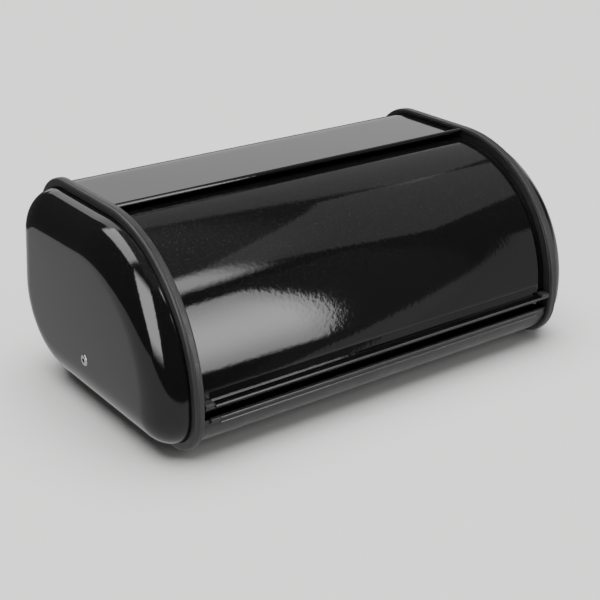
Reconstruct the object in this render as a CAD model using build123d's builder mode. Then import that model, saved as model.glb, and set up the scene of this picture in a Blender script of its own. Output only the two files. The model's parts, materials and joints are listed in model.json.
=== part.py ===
"""Roll-top bread box: a steel box with domed ends, whose curved lid swings up and back on two pivots.

Axes: X runs along the box, -Y is the front and +Z is up. The origin is under the middle of the box,
at the height of the feet's soles. Sizes are in millimetres. Every end-view section is drawn in
(Y, Z) and extruded along X. The right-hand pieces are drawn, and the left-hand ones mirror them.
"""

import os
from math import asin, cos, degrees, radians, sin, tan

from build123d import *

os.makedirs("parts", exist_ok=True)

# ---- driving dimensions ------------------------------------------------------------------------
LENGTH = 420.0  # over both domed ends
HEIGHT = 168.0  # feet included
PIVOT_Y = -3.0  # lid pivot, as seen from the end
PIVOT_Z = 47.0
FOOT_PROUD = 1.0  # the end frames stand this high on their feet
BACK_LEAN = 7.2  # degrees the back leans forward
BACK_FOOT_Y = 134.2  # where the back's line meets the ground
FRONT_LOW_RADIUS = 36.0
BACK_TOP_RADIUS = 47.0
BACK_LOW_RADIUS = 74.0
TIGHTEST_RADIUS = 6.0  # corner radius of the flat on each dome

SHEET = 0.7  # painted steel sheet
SHEET_INSET = 4.6  # the shell's surface below the frame's rim
PLAY = 0.1  # between pieces of one assembly
SWING_GAP = 0.3  # between fixed and swinging pieces

DOME_DEPTH = 26.0
DOME_SHEET = 0.8
DOME_SHOULDER = 30.0  # width of the dome's rounded shoulder
DOME_STEPS = 8
DOME_SKIRT = 5.5  # straight edge of the dome, held in the frame's channel

RIM_WIDTH = 7.6
RIM_HEIGHT = 6.9
WEB = 2.0  # frame wall beside the lid's end
WEB_INSET = 16.0  # how far the web reaches in from the rim
CHANNEL = 1.1  # channel between the rim and the frame's inner wall
CHANNEL_WALL = 1.6
SLOT_DEPTH = 2.8  # slot that holds the shell's ends
SHEET_GRIP = 2.6

LID_RADIUS = 112.5
LID_END_GAP = 1.4
LID_LOW_ANGLE = -8.2  # degrees above the horizontal through the pivot, at the front
LID_HIGH_ANGLE = 94.0
LID_RETURN = 6.0  # stiffening flange along the lid's rear edge

HEM_RADIUS = 2.2  # rolled front edge of the top
SEAM_Y = 36.0  # the shell's lower edge, under the box
LAP = 12.0  # overlap of shell and base pan

SILL_INSET = 3.6
SILL_WALL = 1.7
SILL_TOP = 35.0
SILL_BEAD = 5.0  # height of the raised bead along the sill's top
SILL_LOW_Y = -76.0  # the sill wraps under the box to here
SHELF_TOP = 28.4
SHELF_BACK_Y = -106.0

PULL_TOP = 46.6
PULL_RADIUS = 121.3  # reach of the pull's edge from the pivot
CLIP_LENGTH = 8.0

ARM_SHEET = 1.5
ARM_ANGLE = 43.0
HUB_RADIUS = 13.0

RIVET_SHANK = 2.6
RIVET_BORE = 1.8
RIVET_HEAD = 4.7

# ---- places worked out from them ---------------------------------------------------------------
FRAME_OUT = LENGTH / 2 - DOME_DEPTH
FRAME_IN = FRAME_OUT - RIM_WIDTH
LID_END = FRAME_IN - LID_END_GAP
RIM_RADIUS = HEIGHT - PIVOT_Z
LEAN = tan(radians(BACK_LEAN))
LEAN_STRETCH = 1 / cos(radians(BACK_LEAN))
PAN_INSET = SHEET_INSET + SHEET + PLAY
PAN_TOP = FOOT_PROUD + PAN_INSET + SHEET
CAP_INSET = RIM_HEIGHT + PLAY
LID_UNDER = LID_RADIUS - SHEET
SPAN = 1000.0  # larger than anything in the box


def on_arc(radius, angle):
    """The (Y, Z) point at a radius from the pivot, at an angle in degrees above the front."""
    a = radians(angle)
    return (PIVOT_Y - radius * cos(a), PIVOT_Z + radius * sin(a))


def outline(inset):
    """End view of the box, stepped in by inset: round front, flat top, leaning back."""
    front = RIM_RADIUS - inset
    floor = FOOT_PROUD + inset
    low = max(FRONT_LOW_RADIUS - inset, TIGHTEST_RADIUS)
    drop = degrees(asin((floor + low - PIVOT_Z) / (front - low)))
    top_front = on_arc(front, 90)
    low_centre = on_arc(front - low, drop)
    back_y = BACK_FOOT_Y - inset * LEAN_STRETCH
    with BuildSketch(mode=Mode.PRIVATE) as face:
        with BuildLine():
            FilletPolyline(
                top_front,
                (back_y - top_front[1] * LEAN, top_front[1]),
                (back_y - floor * LEAN, floor),
                (low_centre[0], floor),
                radius=(
                    max(BACK_TOP_RADIUS - inset, TIGHTEST_RADIUS),
                    max(BACK_LOW_RADIUS - inset, TIGHTEST_RADIUS),
                ),
            )
            CenterArc(low_centre, low, 270, -90 - drop)
            CenterArc((PIVOT_Y, PIVOT_Z), front, 180 - drop, drop - 90)
        make_face()
    return face.sketch


def ring(outer_inset, inner_inset):
    """The band between two insets of the outline."""
    with BuildSketch(mode=Mode.PRIVATE) as band:
        add(outline(outer_inset))
        add(outline(inner_inset), mode=Mode.SUBTRACT)
    return band.sketch


def window(low_y, high_y, low_z, high_z):
    """A rectangle of the end view."""
    with BuildSketch(mode=Mode.PRIVATE) as area:
        with Locations(((low_y + high_y) / 2, (low_z + high_z) / 2)):
            Rectangle(high_y - low_y, high_z - low_z)
    return area.sketch


def arc_strip(inner, outer, low_angle, high_angle):
    """A strip round the pivot, between two radii and two angles above the front."""
    sweep_angle = low_angle - high_angle
    with BuildSketch(mode=Mode.PRIVATE) as strip:
        with BuildLine():
            CenterArc((PIVOT_Y, PIVOT_Z), outer, 180 - low_angle, sweep_angle)
            Line(on_arc(outer, high_angle), on_arc(inner, high_angle))
            CenterArc((PIVOT_Y, PIVOT_Z), inner, 180 - high_angle, -sweep_angle)
            Line(on_arc(inner, low_angle), on_arc(outer, low_angle))
        make_face()
    return strip.sketch


def across(x):
    """Plane of the end view, at a station along the box."""
    return Plane.YZ.offset(x)


def on_back(x, z, inset):
    """Plane facing out of the leaning back, stepped straight in from the point at a height."""
    out = (0, cos(radians(BACK_LEAN)), sin(radians(BACK_LEAN)))
    surface = Plane(origin=(x, BACK_FOOT_Y - z * LEAN, z), x_dir=(-1, 0, 0), z_dir=out)
    return surface.offset(-inset)


def write(part, name):
    """Names a finished piece and writes it."""
    part.label = name
    export_step(part, f"parts/{name}.step")


def write_pair(part, name):
    """Writes a right-hand piece and its mirror image for the left."""
    write(part, f"right_{name}")
    write(mirror(part, about=Plane.YZ, mode=Mode.PRIVATE), f"left_{name}")


# ---- end frames: moulded rims that hold the shell and the domes ----------------------------------
RIDGE_INSETS = (1.6, 3.1)
RIDGE = 0.7
LUG = 9.0
LUG_REACH = 10.0
LUG_X = FRAME_IN - LUG_REACH / 2
LUG_TOP = 16.0
BASE_LUGS_Y = (-62.0, 22.0)
BACK_LUGS_Z = (88.0, 117.0)
BACK_LUG_INSET = SHEET_INSET + SHEET + PLAY
SCREW_SHANK = 1.4
SCREW_LENGTH = 8.0
SCREW_HOLE = SCREW_SHANK + PLAY
FOOT_LENGTH = 24.0
FOOT_WIDTH = 5.2
FOOT_HEIGHT = 2.0
FEET_Y = (-68.0, 52.0)
RIM_MIDDLE = FRAME_IN + RIM_WIDTH / 2

with BuildPart() as end_frame:
    with BuildSketch(across(FRAME_IN)):
        add(ring(0, RIM_HEIGHT))
    extrude(amount=RIM_WIDTH)
    fillet(faces().sort_by(Axis.X)[-1].outer_wire().edges(), radius=2.4)
    fillet(faces().sort_by(Axis.X)[0].outer_wire().edges(), radius=1.2)
    with BuildSketch(across(FRAME_IN)):
        add(ring(RIM_HEIGHT - 1, WEB_INSET))
    extrude(amount=WEB)
    with BuildSketch(across(FRAME_IN)):
        add(ring(RIM_HEIGHT + CHANNEL, RIM_HEIGHT + CHANNEL + CHANNEL_WALL))
    extrude(amount=RIM_WIDTH - 1)
    with BuildSketch(across(FRAME_IN - RIDGE)):
        for ridge_inset in RIDGE_INSETS:
            add(ring(ridge_inset, ridge_inset + RIDGE))
    extrude(amount=2 * RIDGE)
    with BuildSketch(across(FRAME_IN)):
        add(ring(SHEET_INSET - PLAY, SHEET_INSET + SHEET + PLAY))
        add(window(-SPAN, PIVOT_Y - 1, 0, SPAN), mode=Mode.SUBTRACT)
        add(window(-SPAN, SEAM_Y - 1, 0, PIVOT_Z), mode=Mode.SUBTRACT)
    extrude(amount=SLOT_DEPTH, mode=Mode.SUBTRACT)
    with BuildSketch(Plane.XY.offset(PAN_TOP + PLAY)):
        for lug_y in BASE_LUGS_Y:
            with Locations((LUG_X, lug_y)):
                Rectangle(LUG_REACH + WEB, LUG)
    extrude(amount=LUG_TOP - PAN_TOP)
    for lug_y in BASE_LUGS_Y:
        with BuildSketch(Plane.XY.offset(PAN_TOP)):
            with Locations((LUG_X, lug_y)):
                Circle(SCREW_HOLE)
        extrude(amount=SCREW_LENGTH, mode=Mode.SUBTRACT)
    for lug_z in BACK_LUGS_Z:
        with BuildSketch(on_back(LUG_X, lug_z, BACK_LUG_INSET)):
            Rectangle(LUG_REACH + WEB, LUG)
        extrude(amount=-LUG)
        with BuildSketch(on_back(LUG_X, lug_z, BACK_LUG_INSET)):
            Circle(SCREW_HOLE)
        extrude(amount=-SCREW_LENGTH, mode=Mode.SUBTRACT)
    with BuildSketch(Plane.XY.offset(FOOT_PROUD)):
        for foot_y in FEET_Y:
            with Locations((RIM_MIDDLE, foot_y)):
                Rectangle(FOOT_WIDTH, FOOT_LENGTH)
    extrude(amount=FOOT_HEIGHT - FOOT_PROUD, mode=Mode.SUBTRACT)
write_pair(end_frame.part, "end_frame")

# ---- rubber feet -------------------------------------------------------------------------------
for foot_name, foot_y in zip(("front_foot", "rear_foot"), FEET_Y):
    with BuildPart() as foot:
        with BuildSketch():
            with Locations((RIM_MIDDLE, foot_y)):
                RectangleRounded(FOOT_WIDTH - PLAY, FOOT_LENGTH - PLAY, 1)
        extrude(amount=FOOT_HEIGHT)
    write_pair(foot.part, foot_name)

# ---- domed end caps: pressed sheet, open on the inside -------------------------------------------
PIVOT_HOLE = RIVET_SHANK + PLAY

with BuildPart() as end_cap:
    with BuildSketch(across(FRAME_OUT - DOME_SKIRT)):
        add(outline(CAP_INSET))
    extrude(amount=DOME_SKIRT)
    for step in range(DOME_STEPS + 1):
        turn = radians(90 * step / DOME_STEPS)
        with BuildSketch(across(FRAME_OUT + DOME_DEPTH * sin(turn))):
            add(outline(CAP_INSET + DOME_SHOULDER * (1 - cos(turn))))
    loft()
    with BuildSketch(across(FRAME_OUT - DOME_SKIRT)):
        add(outline(CAP_INSET + DOME_SHEET))
    extrude(amount=DOME_SKIRT, mode=Mode.SUBTRACT)
    for step in range(DOME_STEPS + 1):
        turn = radians(90 * step / DOME_STEPS)
        with BuildSketch(across(FRAME_OUT + (DOME_DEPTH - DOME_SHEET) * sin(turn))):
            add(outline(CAP_INSET + DOME_SHEET + DOME_SHOULDER * (1 - cos(turn))))
    loft(mode=Mode.SUBTRACT)
    with BuildSketch(across(LENGTH / 2 + 1)):
        with Locations((PIVOT_Y, PIVOT_Z)):
            Circle(PIVOT_HOLE)
    extrude(amount=-3, mode=Mode.SUBTRACT)
write_pair(end_cap.part, "end_cap")

# ---- body shell: top, back and rear of the underside in one sheet ---------------------------------
VENT_RADIUS = 2.5
VENTS = 7
VENT_PITCH = 24.0
VENTS_Z = 136.0
RIVETS = 5
RIVET_PITCH = 70.0
RIVET_HOLE = 1.7
SHELL_END = FRAME_IN + SHEET_GRIP
HEM_CENTRE = (PIVOT_Y + HEM_RADIUS, HEIGHT - SHEET_INSET - SHEET + HEM_RADIUS)
RIVET_ROW_Y = SEAM_Y + LAP / 2

with BuildPart() as body_shell:
    with BuildSketch(across(-SHELL_END)):
        add(ring(SHEET_INSET, SHEET_INSET + SHEET))
        add(window(-SPAN, HEM_CENTRE[0], 0, SPAN), mode=Mode.SUBTRACT)
        add(window(-SPAN, SEAM_Y, 0, PIVOT_Z), mode=Mode.SUBTRACT)
    extrude(amount=2 * SHELL_END)
    with BuildSketch(across(-FRAME_IN + RIDGE + PLAY)):
        with Locations(HEM_CENTRE):
            Circle(HEM_RADIUS)
            Circle(HEM_RADIUS - SHEET, mode=Mode.SUBTRACT)
    extrude(amount=2 * (FRAME_IN - RIDGE - PLAY))
    with BuildSketch(on_back(0, VENTS_Z, 0)):
        with GridLocations(VENT_PITCH, 1, VENTS, 1):
            Circle(VENT_RADIUS)
    extrude(amount=-2 * SHEET_INSET, mode=Mode.SUBTRACT)
    for lug_z in BACK_LUGS_Z:
        with BuildSketch(on_back(0, lug_z, 0)):
            with GridLocations(2 * LUG_X, 1, 2, 1):
                Circle(SCREW_HOLE)
        extrude(amount=-2 * SHEET_INSET, mode=Mode.SUBTRACT)
    with BuildSketch():
        with Locations((0, RIVET_ROW_Y)):
            with GridLocations(RIVET_PITCH, 1, RIVETS, 1):
                Circle(RIVET_HOLE)
    extrude(amount=2 * SHEET_INSET, mode=Mode.SUBTRACT)
write(body_shell.part, "body_shell")

# ---- base pan: the bottom sheet, turned up at the front ------------------------------------------
PAN_END = FRAME_IN - PLAY
SILL_ROW_Y = -82.0
PAN_FRONT_TOP = SHELF_TOP - 2.4

with BuildPart() as base_pan:
    with BuildSketch(across(-PAN_END)):
        add(ring(PAN_INSET, PAN_INSET + SHEET))
        add(window(SEAM_Y + LAP, SPAN, 0, SPAN), mode=Mode.SUBTRACT)
        add(window(-SPAN, SPAN, PAN_FRONT_TOP, SPAN), mode=Mode.SUBTRACT)
    extrude(amount=2 * PAN_END)
    with BuildSketch():
        with Locations((0, RIVET_ROW_Y), (0, SILL_ROW_Y)):
            with GridLocations(RIVET_PITCH, 1, RIVETS, 1):
                Circle(RIVET_HOLE)
        for lug_y in BASE_LUGS_Y:
            with Locations((0, lug_y)):
                with GridLocations(2 * LUG_X, 1, 2, 1):
                    Circle(SCREW_HOLE)
    extrude(amount=LUG_TOP, mode=Mode.SUBTRACT)
write(base_pan.part, "base_pan")

# ---- front sill: beaded strip along the lower front ----------------------------------------------
SILL_BEAD_INSET = 0.6
SILL_END = FRAME_IN - RIDGE - PLAY
SILL_BEAD_GAP = 6.0  # the bead stops this far short of each frame
SHELF = 1.4
SHELF_LIP = 3.0

with BuildPart() as front_sill:
    with BuildSketch(across(-SILL_END)):
        add(ring(SILL_INSET, SILL_INSET + SILL_WALL))
        add(window(-SPAN, SILL_LOW_Y, 0, SILL_TOP - 2), mode=Mode.INTERSECT)
    extrude(amount=2 * SILL_END)
    with BuildSketch(across(-SILL_END + SILL_BEAD_GAP)):
        add(ring(SILL_BEAD_INSET, SILL_INSET + SILL_WALL))
        add(window(-SPAN, SHELF_BACK_Y, SILL_TOP - SILL_BEAD, SILL_TOP), mode=Mode.INTERSECT)
        fillet(vertices().group_by(Axis.X)[0], radius=1.8)
    extrude(amount=2 * (SILL_END - SILL_BEAD_GAP))
    with BuildSketch(across(-LID_END)):
        add(window(-SPAN, SHELF_BACK_Y, SHELF_TOP - SHELF, SHELF_TOP))
        add(window(SHELF_BACK_Y - SHELF, SHELF_BACK_Y, SHELF_TOP - SHELF_LIP, SHELF_TOP))
        add(outline(SILL_INSET + SILL_WALL / 2), mode=Mode.INTERSECT)
    extrude(amount=2 * LID_END)
    with BuildSketch():
        with Locations((0, SILL_ROW_Y)):
            with GridLocations(RIVET_PITCH, 1, RIVETS, 1):
                Circle(RIVET_HOLE)
    extrude(amount=LUG_TOP, mode=Mode.SUBTRACT)
write(front_sill.part, "front_sill")

# ---- lid bumpers: soft pads the closed lid rests on ----------------------------------------------
BUMPER_X = 150.0
BUMPER_LENGTH = 14.0
BUMPER_WIDTH = 5.0
LID_FOOT = on_arc(LID_RADIUS, LID_LOW_ANGLE)
BUMPER_Y = LID_FOOT[0] + 0.8

with BuildPart() as lid_bumper:
    with BuildSketch(Plane.XY.offset(SHELF_TOP)):
        with Locations((BUMPER_X, BUMPER_Y)):
            RectangleRounded(BUMPER_LENGTH, BUMPER_WIDTH, 2)
    extrude(amount=LID_FOOT[1] - SHELF_TOP - SWING_GAP)
    fillet(faces().sort_by(Axis.Z)[-1].edges(), radius=0.5)
write_pair(lid_bumper.part, "lid_bumper")

# ---- fasteners ---------------------------------------------------------------------------------
SCREW_HEAD = 2.9
SCREW_HEAD_HEIGHT = 1.8
POP_RADIUS = 1.6
POP_HEAD = 3.0
POP_HEAD_HEIGHT = 1.0
PAN_UNDER = FOOT_PROUD + PAN_INSET


def drawn_screw(plane):
    """A pan-head tapping screw whose head bears on the plane, driven against its normal."""
    with BuildPart(plane, mode=Mode.PRIVATE) as screw:
        with BuildSketch(plane):
            Circle(SCREW_SHANK)
        extrude(amount=-SCREW_LENGTH + 1)
        with BuildSketch(plane):
            Circle(SCREW_HEAD)
        extrude(amount=SCREW_HEAD_HEIGHT)
        fillet(edges().filter_by(GeomType.CIRCLE).group_by(SortBy.RADIUS)[-1], radius=0.7)
        with BuildSketch(plane.offset(SCREW_HEAD_HEIGHT)):
            Rectangle(3, 0.8)
            Rectangle(0.8, 3)
        extrude(amount=-1, mode=Mode.SUBTRACT)
    return screw.part


def drawn_pop_rivet(x, y, low_z, high_z):
    """A blind rivet standing upright, with its head under low_z and its clinch over high_z."""
    with BuildPart(mode=Mode.PRIVATE) as rivet:
        with BuildSketch(Plane.XY.offset(low_z - POP_HEAD_HEIGHT)):
            with Locations((x, y)):
                Circle(POP_HEAD)
        extrude(amount=POP_HEAD_HEIGHT)
        with BuildSketch(Plane.XY.offset(low_z)):
            with Locations((x, y)):
                Circle(POP_RADIUS)
        extrude(amount=high_z - low_z + POP_HEAD_HEIGHT)
        with BuildSketch(Plane.XY.offset(high_z)):
            with Locations((x, y)):
                Circle(POP_HEAD - 0.6)
        extrude(amount=POP_HEAD_HEIGHT)
    return rivet.part


BACK_SCREW_PLANES = [on_back(side * LUG_X, z, SHEET_INSET) for side in (1, -1) for z in BACK_LUGS_Z]
BASE_SCREW_PLANES = [
    Plane(origin=(side * LUG_X, y, PAN_UNDER), z_dir=(0, 0, -1)) for side in (1, -1) for y in BASE_LUGS_Y
]
RIVET_XS = [RIVET_PITCH * (n - (RIVETS - 1) / 2) for n in range(RIVETS)]
SHELL_UNDER = FOOT_PROUD + SHEET_INSET
SILL_UNDER = FOOT_PROUD + SILL_INSET

with BuildPart() as back_screws:
    for screw_plane in BACK_SCREW_PLANES:
        add(drawn_screw(screw_plane))
write(back_screws.part, "back_screws")

with BuildPart() as base_screws:
    for screw_plane in BASE_SCREW_PLANES:
        add(drawn_screw(screw_plane))
write(base_screws.part, "base_screws")

with BuildPart() as seam_rivets:
    for rivet_x in RIVET_XS:
        add(drawn_pop_rivet(rivet_x, RIVET_ROW_Y, SHELL_UNDER, PAN_TOP))
write(seam_rivets.part, "seam_rivets")

with BuildPart() as sill_rivets:
    for rivet_x in RIVET_XS:
        add(drawn_pop_rivet(rivet_x, SILL_ROW_Y, SILL_UNDER, PAN_TOP))
write(sill_rivets.part, "sill_rivets")

# ---- pivots, from the dome's flat face inwards ----------------------------------------------------
WASHER = 1.0
WASHER_RADIUS = 8.0
BUSH_FLANGE = 0.8
BUSH_RADIUS = 4.2
BUSH_FIT = 0.05
CLINCH = 0.7
CAP_INSIDE = LENGTH / 2 - DOME_SHEET
HUB_OUT = CAP_INSIDE - WASHER - SWING_GAP
HUB_IN = HUB_OUT - ARM_SHEET
CLINCH_WASHER_OUT = HUB_IN - BUSH_FLANGE - SWING_GAP
CLINCH_OUT = CLINCH_WASHER_OUT - WASHER
PIVOT_YZ = (PIVOT_Y, PIVOT_Z)

with BuildPart() as pivot_rivet:
    with BuildSketch(across(LENGTH / 2)):
        with Locations(PIVOT_YZ):
            Circle(RIVET_HEAD)
    extrude(amount=1.3)
    fillet(faces().sort_by(Axis.X)[-1].edges(), radius=0.9)
    with BuildSketch(across(LENGTH / 2)):
        with Locations(PIVOT_YZ):
            Circle(RIVET_SHANK)
    extrude(amount=CLINCH_OUT - CLINCH - LENGTH / 2)
    with BuildSketch(across(CLINCH_OUT)):
        with Locations(PIVOT_YZ):
            Circle(RIVET_HEAD - 0.7)
    extrude(amount=-CLINCH)
    with BuildSketch(across(LENGTH / 2 + 2)):
        with Locations(PIVOT_YZ):
            Circle(RIVET_BORE)
    extrude(amount=-20, mode=Mode.SUBTRACT)
    mouth = edges().filter_by(GeomType.CIRCLE).filter_by(lambda e: abs(e.radius - RIVET_BORE) < PLAY)
    chamfer(mouth.sort_by(Axis.X)[-1], length=0.4)
write_pair(pivot_rivet.part, "pivot_rivet")

with BuildPart() as pivot_washer:
    with BuildSketch(across(CAP_INSIDE)):
        with Locations(PIVOT_YZ):
            Circle(WASHER_RADIUS)
            Circle(PIVOT_HOLE, mode=Mode.SUBTRACT)
    extrude(amount=-WASHER)
write_pair(pivot_washer.part, "pivot_washer")

with BuildPart() as clinch_washer:
    with BuildSketch(across(CLINCH_WASHER_OUT)):
        with Locations(PIVOT_YZ):
            Circle(WASHER_RADIUS - 1.5)
            Circle(PIVOT_HOLE, mode=Mode.SUBTRACT)
    extrude(amount=-WASHER)
write_pair(clinch_washer.part, "clinch_washer")

with BuildPart() as pivot_bush:
    with BuildSketch(across(HUB_IN)):
        with Locations(PIVOT_YZ):
            Circle(BUSH_RADIUS)
    extrude(amount=ARM_SHEET)
    with BuildSketch(across(HUB_IN)):
        with Locations(PIVOT_YZ):
            Circle(WASHER_RADIUS - 1.5)
    extrude(amount=-BUSH_FLANGE)
    with BuildSketch(across(HUB_OUT)):
        with Locations(PIVOT_YZ):
            Circle(RIVET_SHANK + BUSH_FIT)
    extrude(amount=-ARM_SHEET - BUSH_FLANGE, mode=Mode.SUBTRACT)
write_pair(pivot_bush.part, "pivot_bush")

# ---- lid arms: bent straps from the pivots to the lid's ends ---------------------------------------
ARM_X = LID_END - 2.0  # the arm's outer part, just inside the lid's end
ARM_REACH = LID_UNDER - 1.6
ARM_KNEES = (16.0, 98.0)  # bends of the strap, from the pivot
FLANGE_HALF_ANGLE = 15.0
FLANGE_DEPTH = 9.0
ARM_PLANE = Plane(
    origin=(0, PIVOT_Y, PIVOT_Z),
    x_dir=(0, -cos(radians(ARM_ANGLE)), sin(radians(ARM_ANGLE))),
    z_dir=(0, sin(radians(ARM_ANGLE)), cos(radians(ARM_ANGLE))),
)
HUB_MIDDLE = (HUB_IN + HUB_OUT) / 2
FAN_CORNERS = (
    on_arc(LID_RADIUS, ARM_ANGLE - FLANGE_HALF_ANGLE),
    on_arc(LID_RADIUS, ARM_ANGLE + FLANGE_HALF_ANGLE),
)

with BuildPart() as lid_arm:
    with BuildSketch(ARM_PLANE):
        with BuildLine():
            FilletPolyline(
                (-2 * HUB_RADIUS, HUB_MIDDLE),
                (ARM_KNEES[0], HUB_MIDDLE),
                (ARM_KNEES[1], ARM_X),
                (LID_RADIUS, ARM_X),
                radius=4,
            )
        trace(line_width=ARM_SHEET)
    extrude(amount=LID_RADIUS / 2, both=True)
    with BuildSketch(across(ARM_X - ARM_SHEET)):
        with Locations(PIVOT_YZ):
            Circle(HUB_RADIUS)
        with Locations(*FAN_CORNERS):
            Circle(2)
        make_hull()
        with Locations(PIVOT_YZ):
            Circle(ARM_REACH + 0.8, mode=Mode.INTERSECT)
            Circle(BUSH_RADIUS + PLAY / 2, mode=Mode.SUBTRACT)
        with Locations(on_arc(70, ARM_ANGLE)):
            Circle(10, mode=Mode.SUBTRACT)
    extrude(amount=DOME_DEPTH * 2, mode=Mode.INTERSECT)
    with BuildSketch(across(ARM_X + ARM_SHEET / 2)):
        add(
            arc_strip(
                LID_UNDER - PLAY / 2 - ARM_SHEET,
                LID_UNDER - PLAY / 2,
                ARM_ANGLE - FLANGE_HALF_ANGLE,
                ARM_ANGLE + FLANGE_HALF_ANGLE,
            )
        )
    extrude(amount=-FLANGE_DEPTH)
write_pair(lid_arm.part, "lid_arm")

# ---- lid ---------------------------------------------------------------------------------------
with BuildPart() as lid_panel:
    with BuildSketch(across(-LID_END)):
        add(arc_strip(LID_UNDER, LID_RADIUS, LID_LOW_ANGLE, LID_HIGH_ANGLE))
        add(
            arc_strip(
                LID_UNDER - LID_RETURN,
                LID_RADIUS,
                LID_HIGH_ANGLE - degrees(SHEET / LID_RADIUS),
                LID_HIGH_ANGLE,
            )
        )
    extrude(amount=2 * LID_END)
write(lid_panel.part, "lid_panel")

# ---- pull rail along the lid's lower edge, and its end clips ----------------------------------------
PULL_WALL = 1.3
PULL_LEG_ANGLE = 3.6
PULL_END = LID_END - CLIP_LENGTH
PULL_SEAT = LID_RADIUS + PLAY / 2
PULL_LEDGE_Y = PIVOT_Y - PULL_RADIUS
PULL_BEAD = 1.1
PULL_BLEND = 2.6
CLIP_TOP = 48.3
CLIP_LOW = 43.4
CLIP_OUT_Y = PULL_LEDGE_Y + 1.2

with BuildPart() as lid_pull_rail:
    with BuildSketch(across(-PULL_END)):
        add(arc_strip(PULL_SEAT, PULL_SEAT + PULL_WALL, -1.0, PULL_LEG_ANGLE))
        add(window(PULL_LEDGE_Y + PULL_BEAD, PIVOT_Y - PULL_SEAT, PULL_TOP - PULL_WALL, PULL_TOP))
        with Locations((PULL_LEDGE_Y + PULL_BEAD, PULL_TOP - PULL_BEAD)):
            Circle(PULL_BEAD)
        with Locations((PIVOT_Y, PIVOT_Z)):
            Circle(PULL_SEAT, mode=Mode.SUBTRACT)
        leg_foot = vertices().sort_by_distance((PIVOT_Y - PULL_SEAT - PULL_WALL, PULL_TOP))[0]
        fillet(leg_foot, radius=PULL_BLEND)
    extrude(amount=2 * PULL_END)
write(lid_pull_rail.part, "lid_pull_rail")

with BuildPart() as pull_end_clip:
    with BuildSketch(across(PULL_END + PLAY)):
        add(window(CLIP_OUT_Y, PIVOT_Y - PULL_SEAT, CLIP_LOW, CLIP_TOP))
        fillet(vertices().group_by(Axis.X)[0], radius=1.4)
        with Locations((PIVOT_Y, PIVOT_Z)):
            Circle(PULL_SEAT, mode=Mode.SUBTRACT)
    extrude(amount=CLIP_LENGTH - PLAY)
write_pair(pull_end_clip.part, "pull_end_clip")
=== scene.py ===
"""Dresses the roll-top bread box: enamelled sheet, moulded end frames, plated pivots, a small studio.

Lengths are in metres and in the frame's own axes: X runs along the box, -Y is the front and +Z is up.
An end-view point is (y, z), and an inset is a distance in from the end frame's outer rim.
"""

import itertools
import json
import logging
import math
from dataclasses import dataclass
from enum import Enum
from typing import Any, Callable, Iterable, Sequence

import bmesh
import bpy
from mathutils import Matrix, Vector


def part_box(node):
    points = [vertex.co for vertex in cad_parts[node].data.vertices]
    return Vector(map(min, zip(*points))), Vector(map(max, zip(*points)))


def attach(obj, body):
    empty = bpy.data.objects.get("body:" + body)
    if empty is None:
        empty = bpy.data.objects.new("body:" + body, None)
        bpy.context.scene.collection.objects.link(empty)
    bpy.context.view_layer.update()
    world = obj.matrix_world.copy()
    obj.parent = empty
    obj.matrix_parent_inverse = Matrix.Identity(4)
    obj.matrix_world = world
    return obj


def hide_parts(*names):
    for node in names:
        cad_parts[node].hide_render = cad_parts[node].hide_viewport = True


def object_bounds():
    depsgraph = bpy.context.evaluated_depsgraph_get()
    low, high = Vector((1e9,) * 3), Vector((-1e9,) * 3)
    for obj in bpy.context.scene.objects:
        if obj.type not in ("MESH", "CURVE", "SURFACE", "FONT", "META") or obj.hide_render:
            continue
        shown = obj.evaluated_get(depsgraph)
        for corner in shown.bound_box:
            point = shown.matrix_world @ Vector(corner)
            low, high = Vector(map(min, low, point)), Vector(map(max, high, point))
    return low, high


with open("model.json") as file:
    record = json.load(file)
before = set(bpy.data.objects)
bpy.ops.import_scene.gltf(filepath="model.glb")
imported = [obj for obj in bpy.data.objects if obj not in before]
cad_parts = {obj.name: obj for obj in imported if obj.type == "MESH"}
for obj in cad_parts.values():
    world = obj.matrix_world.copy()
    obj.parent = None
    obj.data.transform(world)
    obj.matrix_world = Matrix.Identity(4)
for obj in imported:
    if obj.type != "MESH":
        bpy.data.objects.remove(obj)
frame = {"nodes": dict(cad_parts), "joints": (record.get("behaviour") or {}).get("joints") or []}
CAD_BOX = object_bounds()

LOG = logging.getLogger("bread_box")
MM = 0.001
WELD = 0.002 * MM
NEEDLE = 0.01 * MM

Point2 = tuple[float, float]
Point3 = tuple[float, float, float]
Colour = tuple[float, float, float, float]
Settings = dict[str, Any]
Inputs = dict[Any, Any]


class Side(Enum):
    """An end of the box, with its sign along X."""

    LEFT = -1
    RIGHT = 1

    @property
    def word(self) -> str:
        """The side's name, as the nodes spell it."""
        return self.name.lower()


class Body(Enum):
    """The bodies that pieces ride on."""

    BOX = "box"
    LID = "lid"


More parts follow.
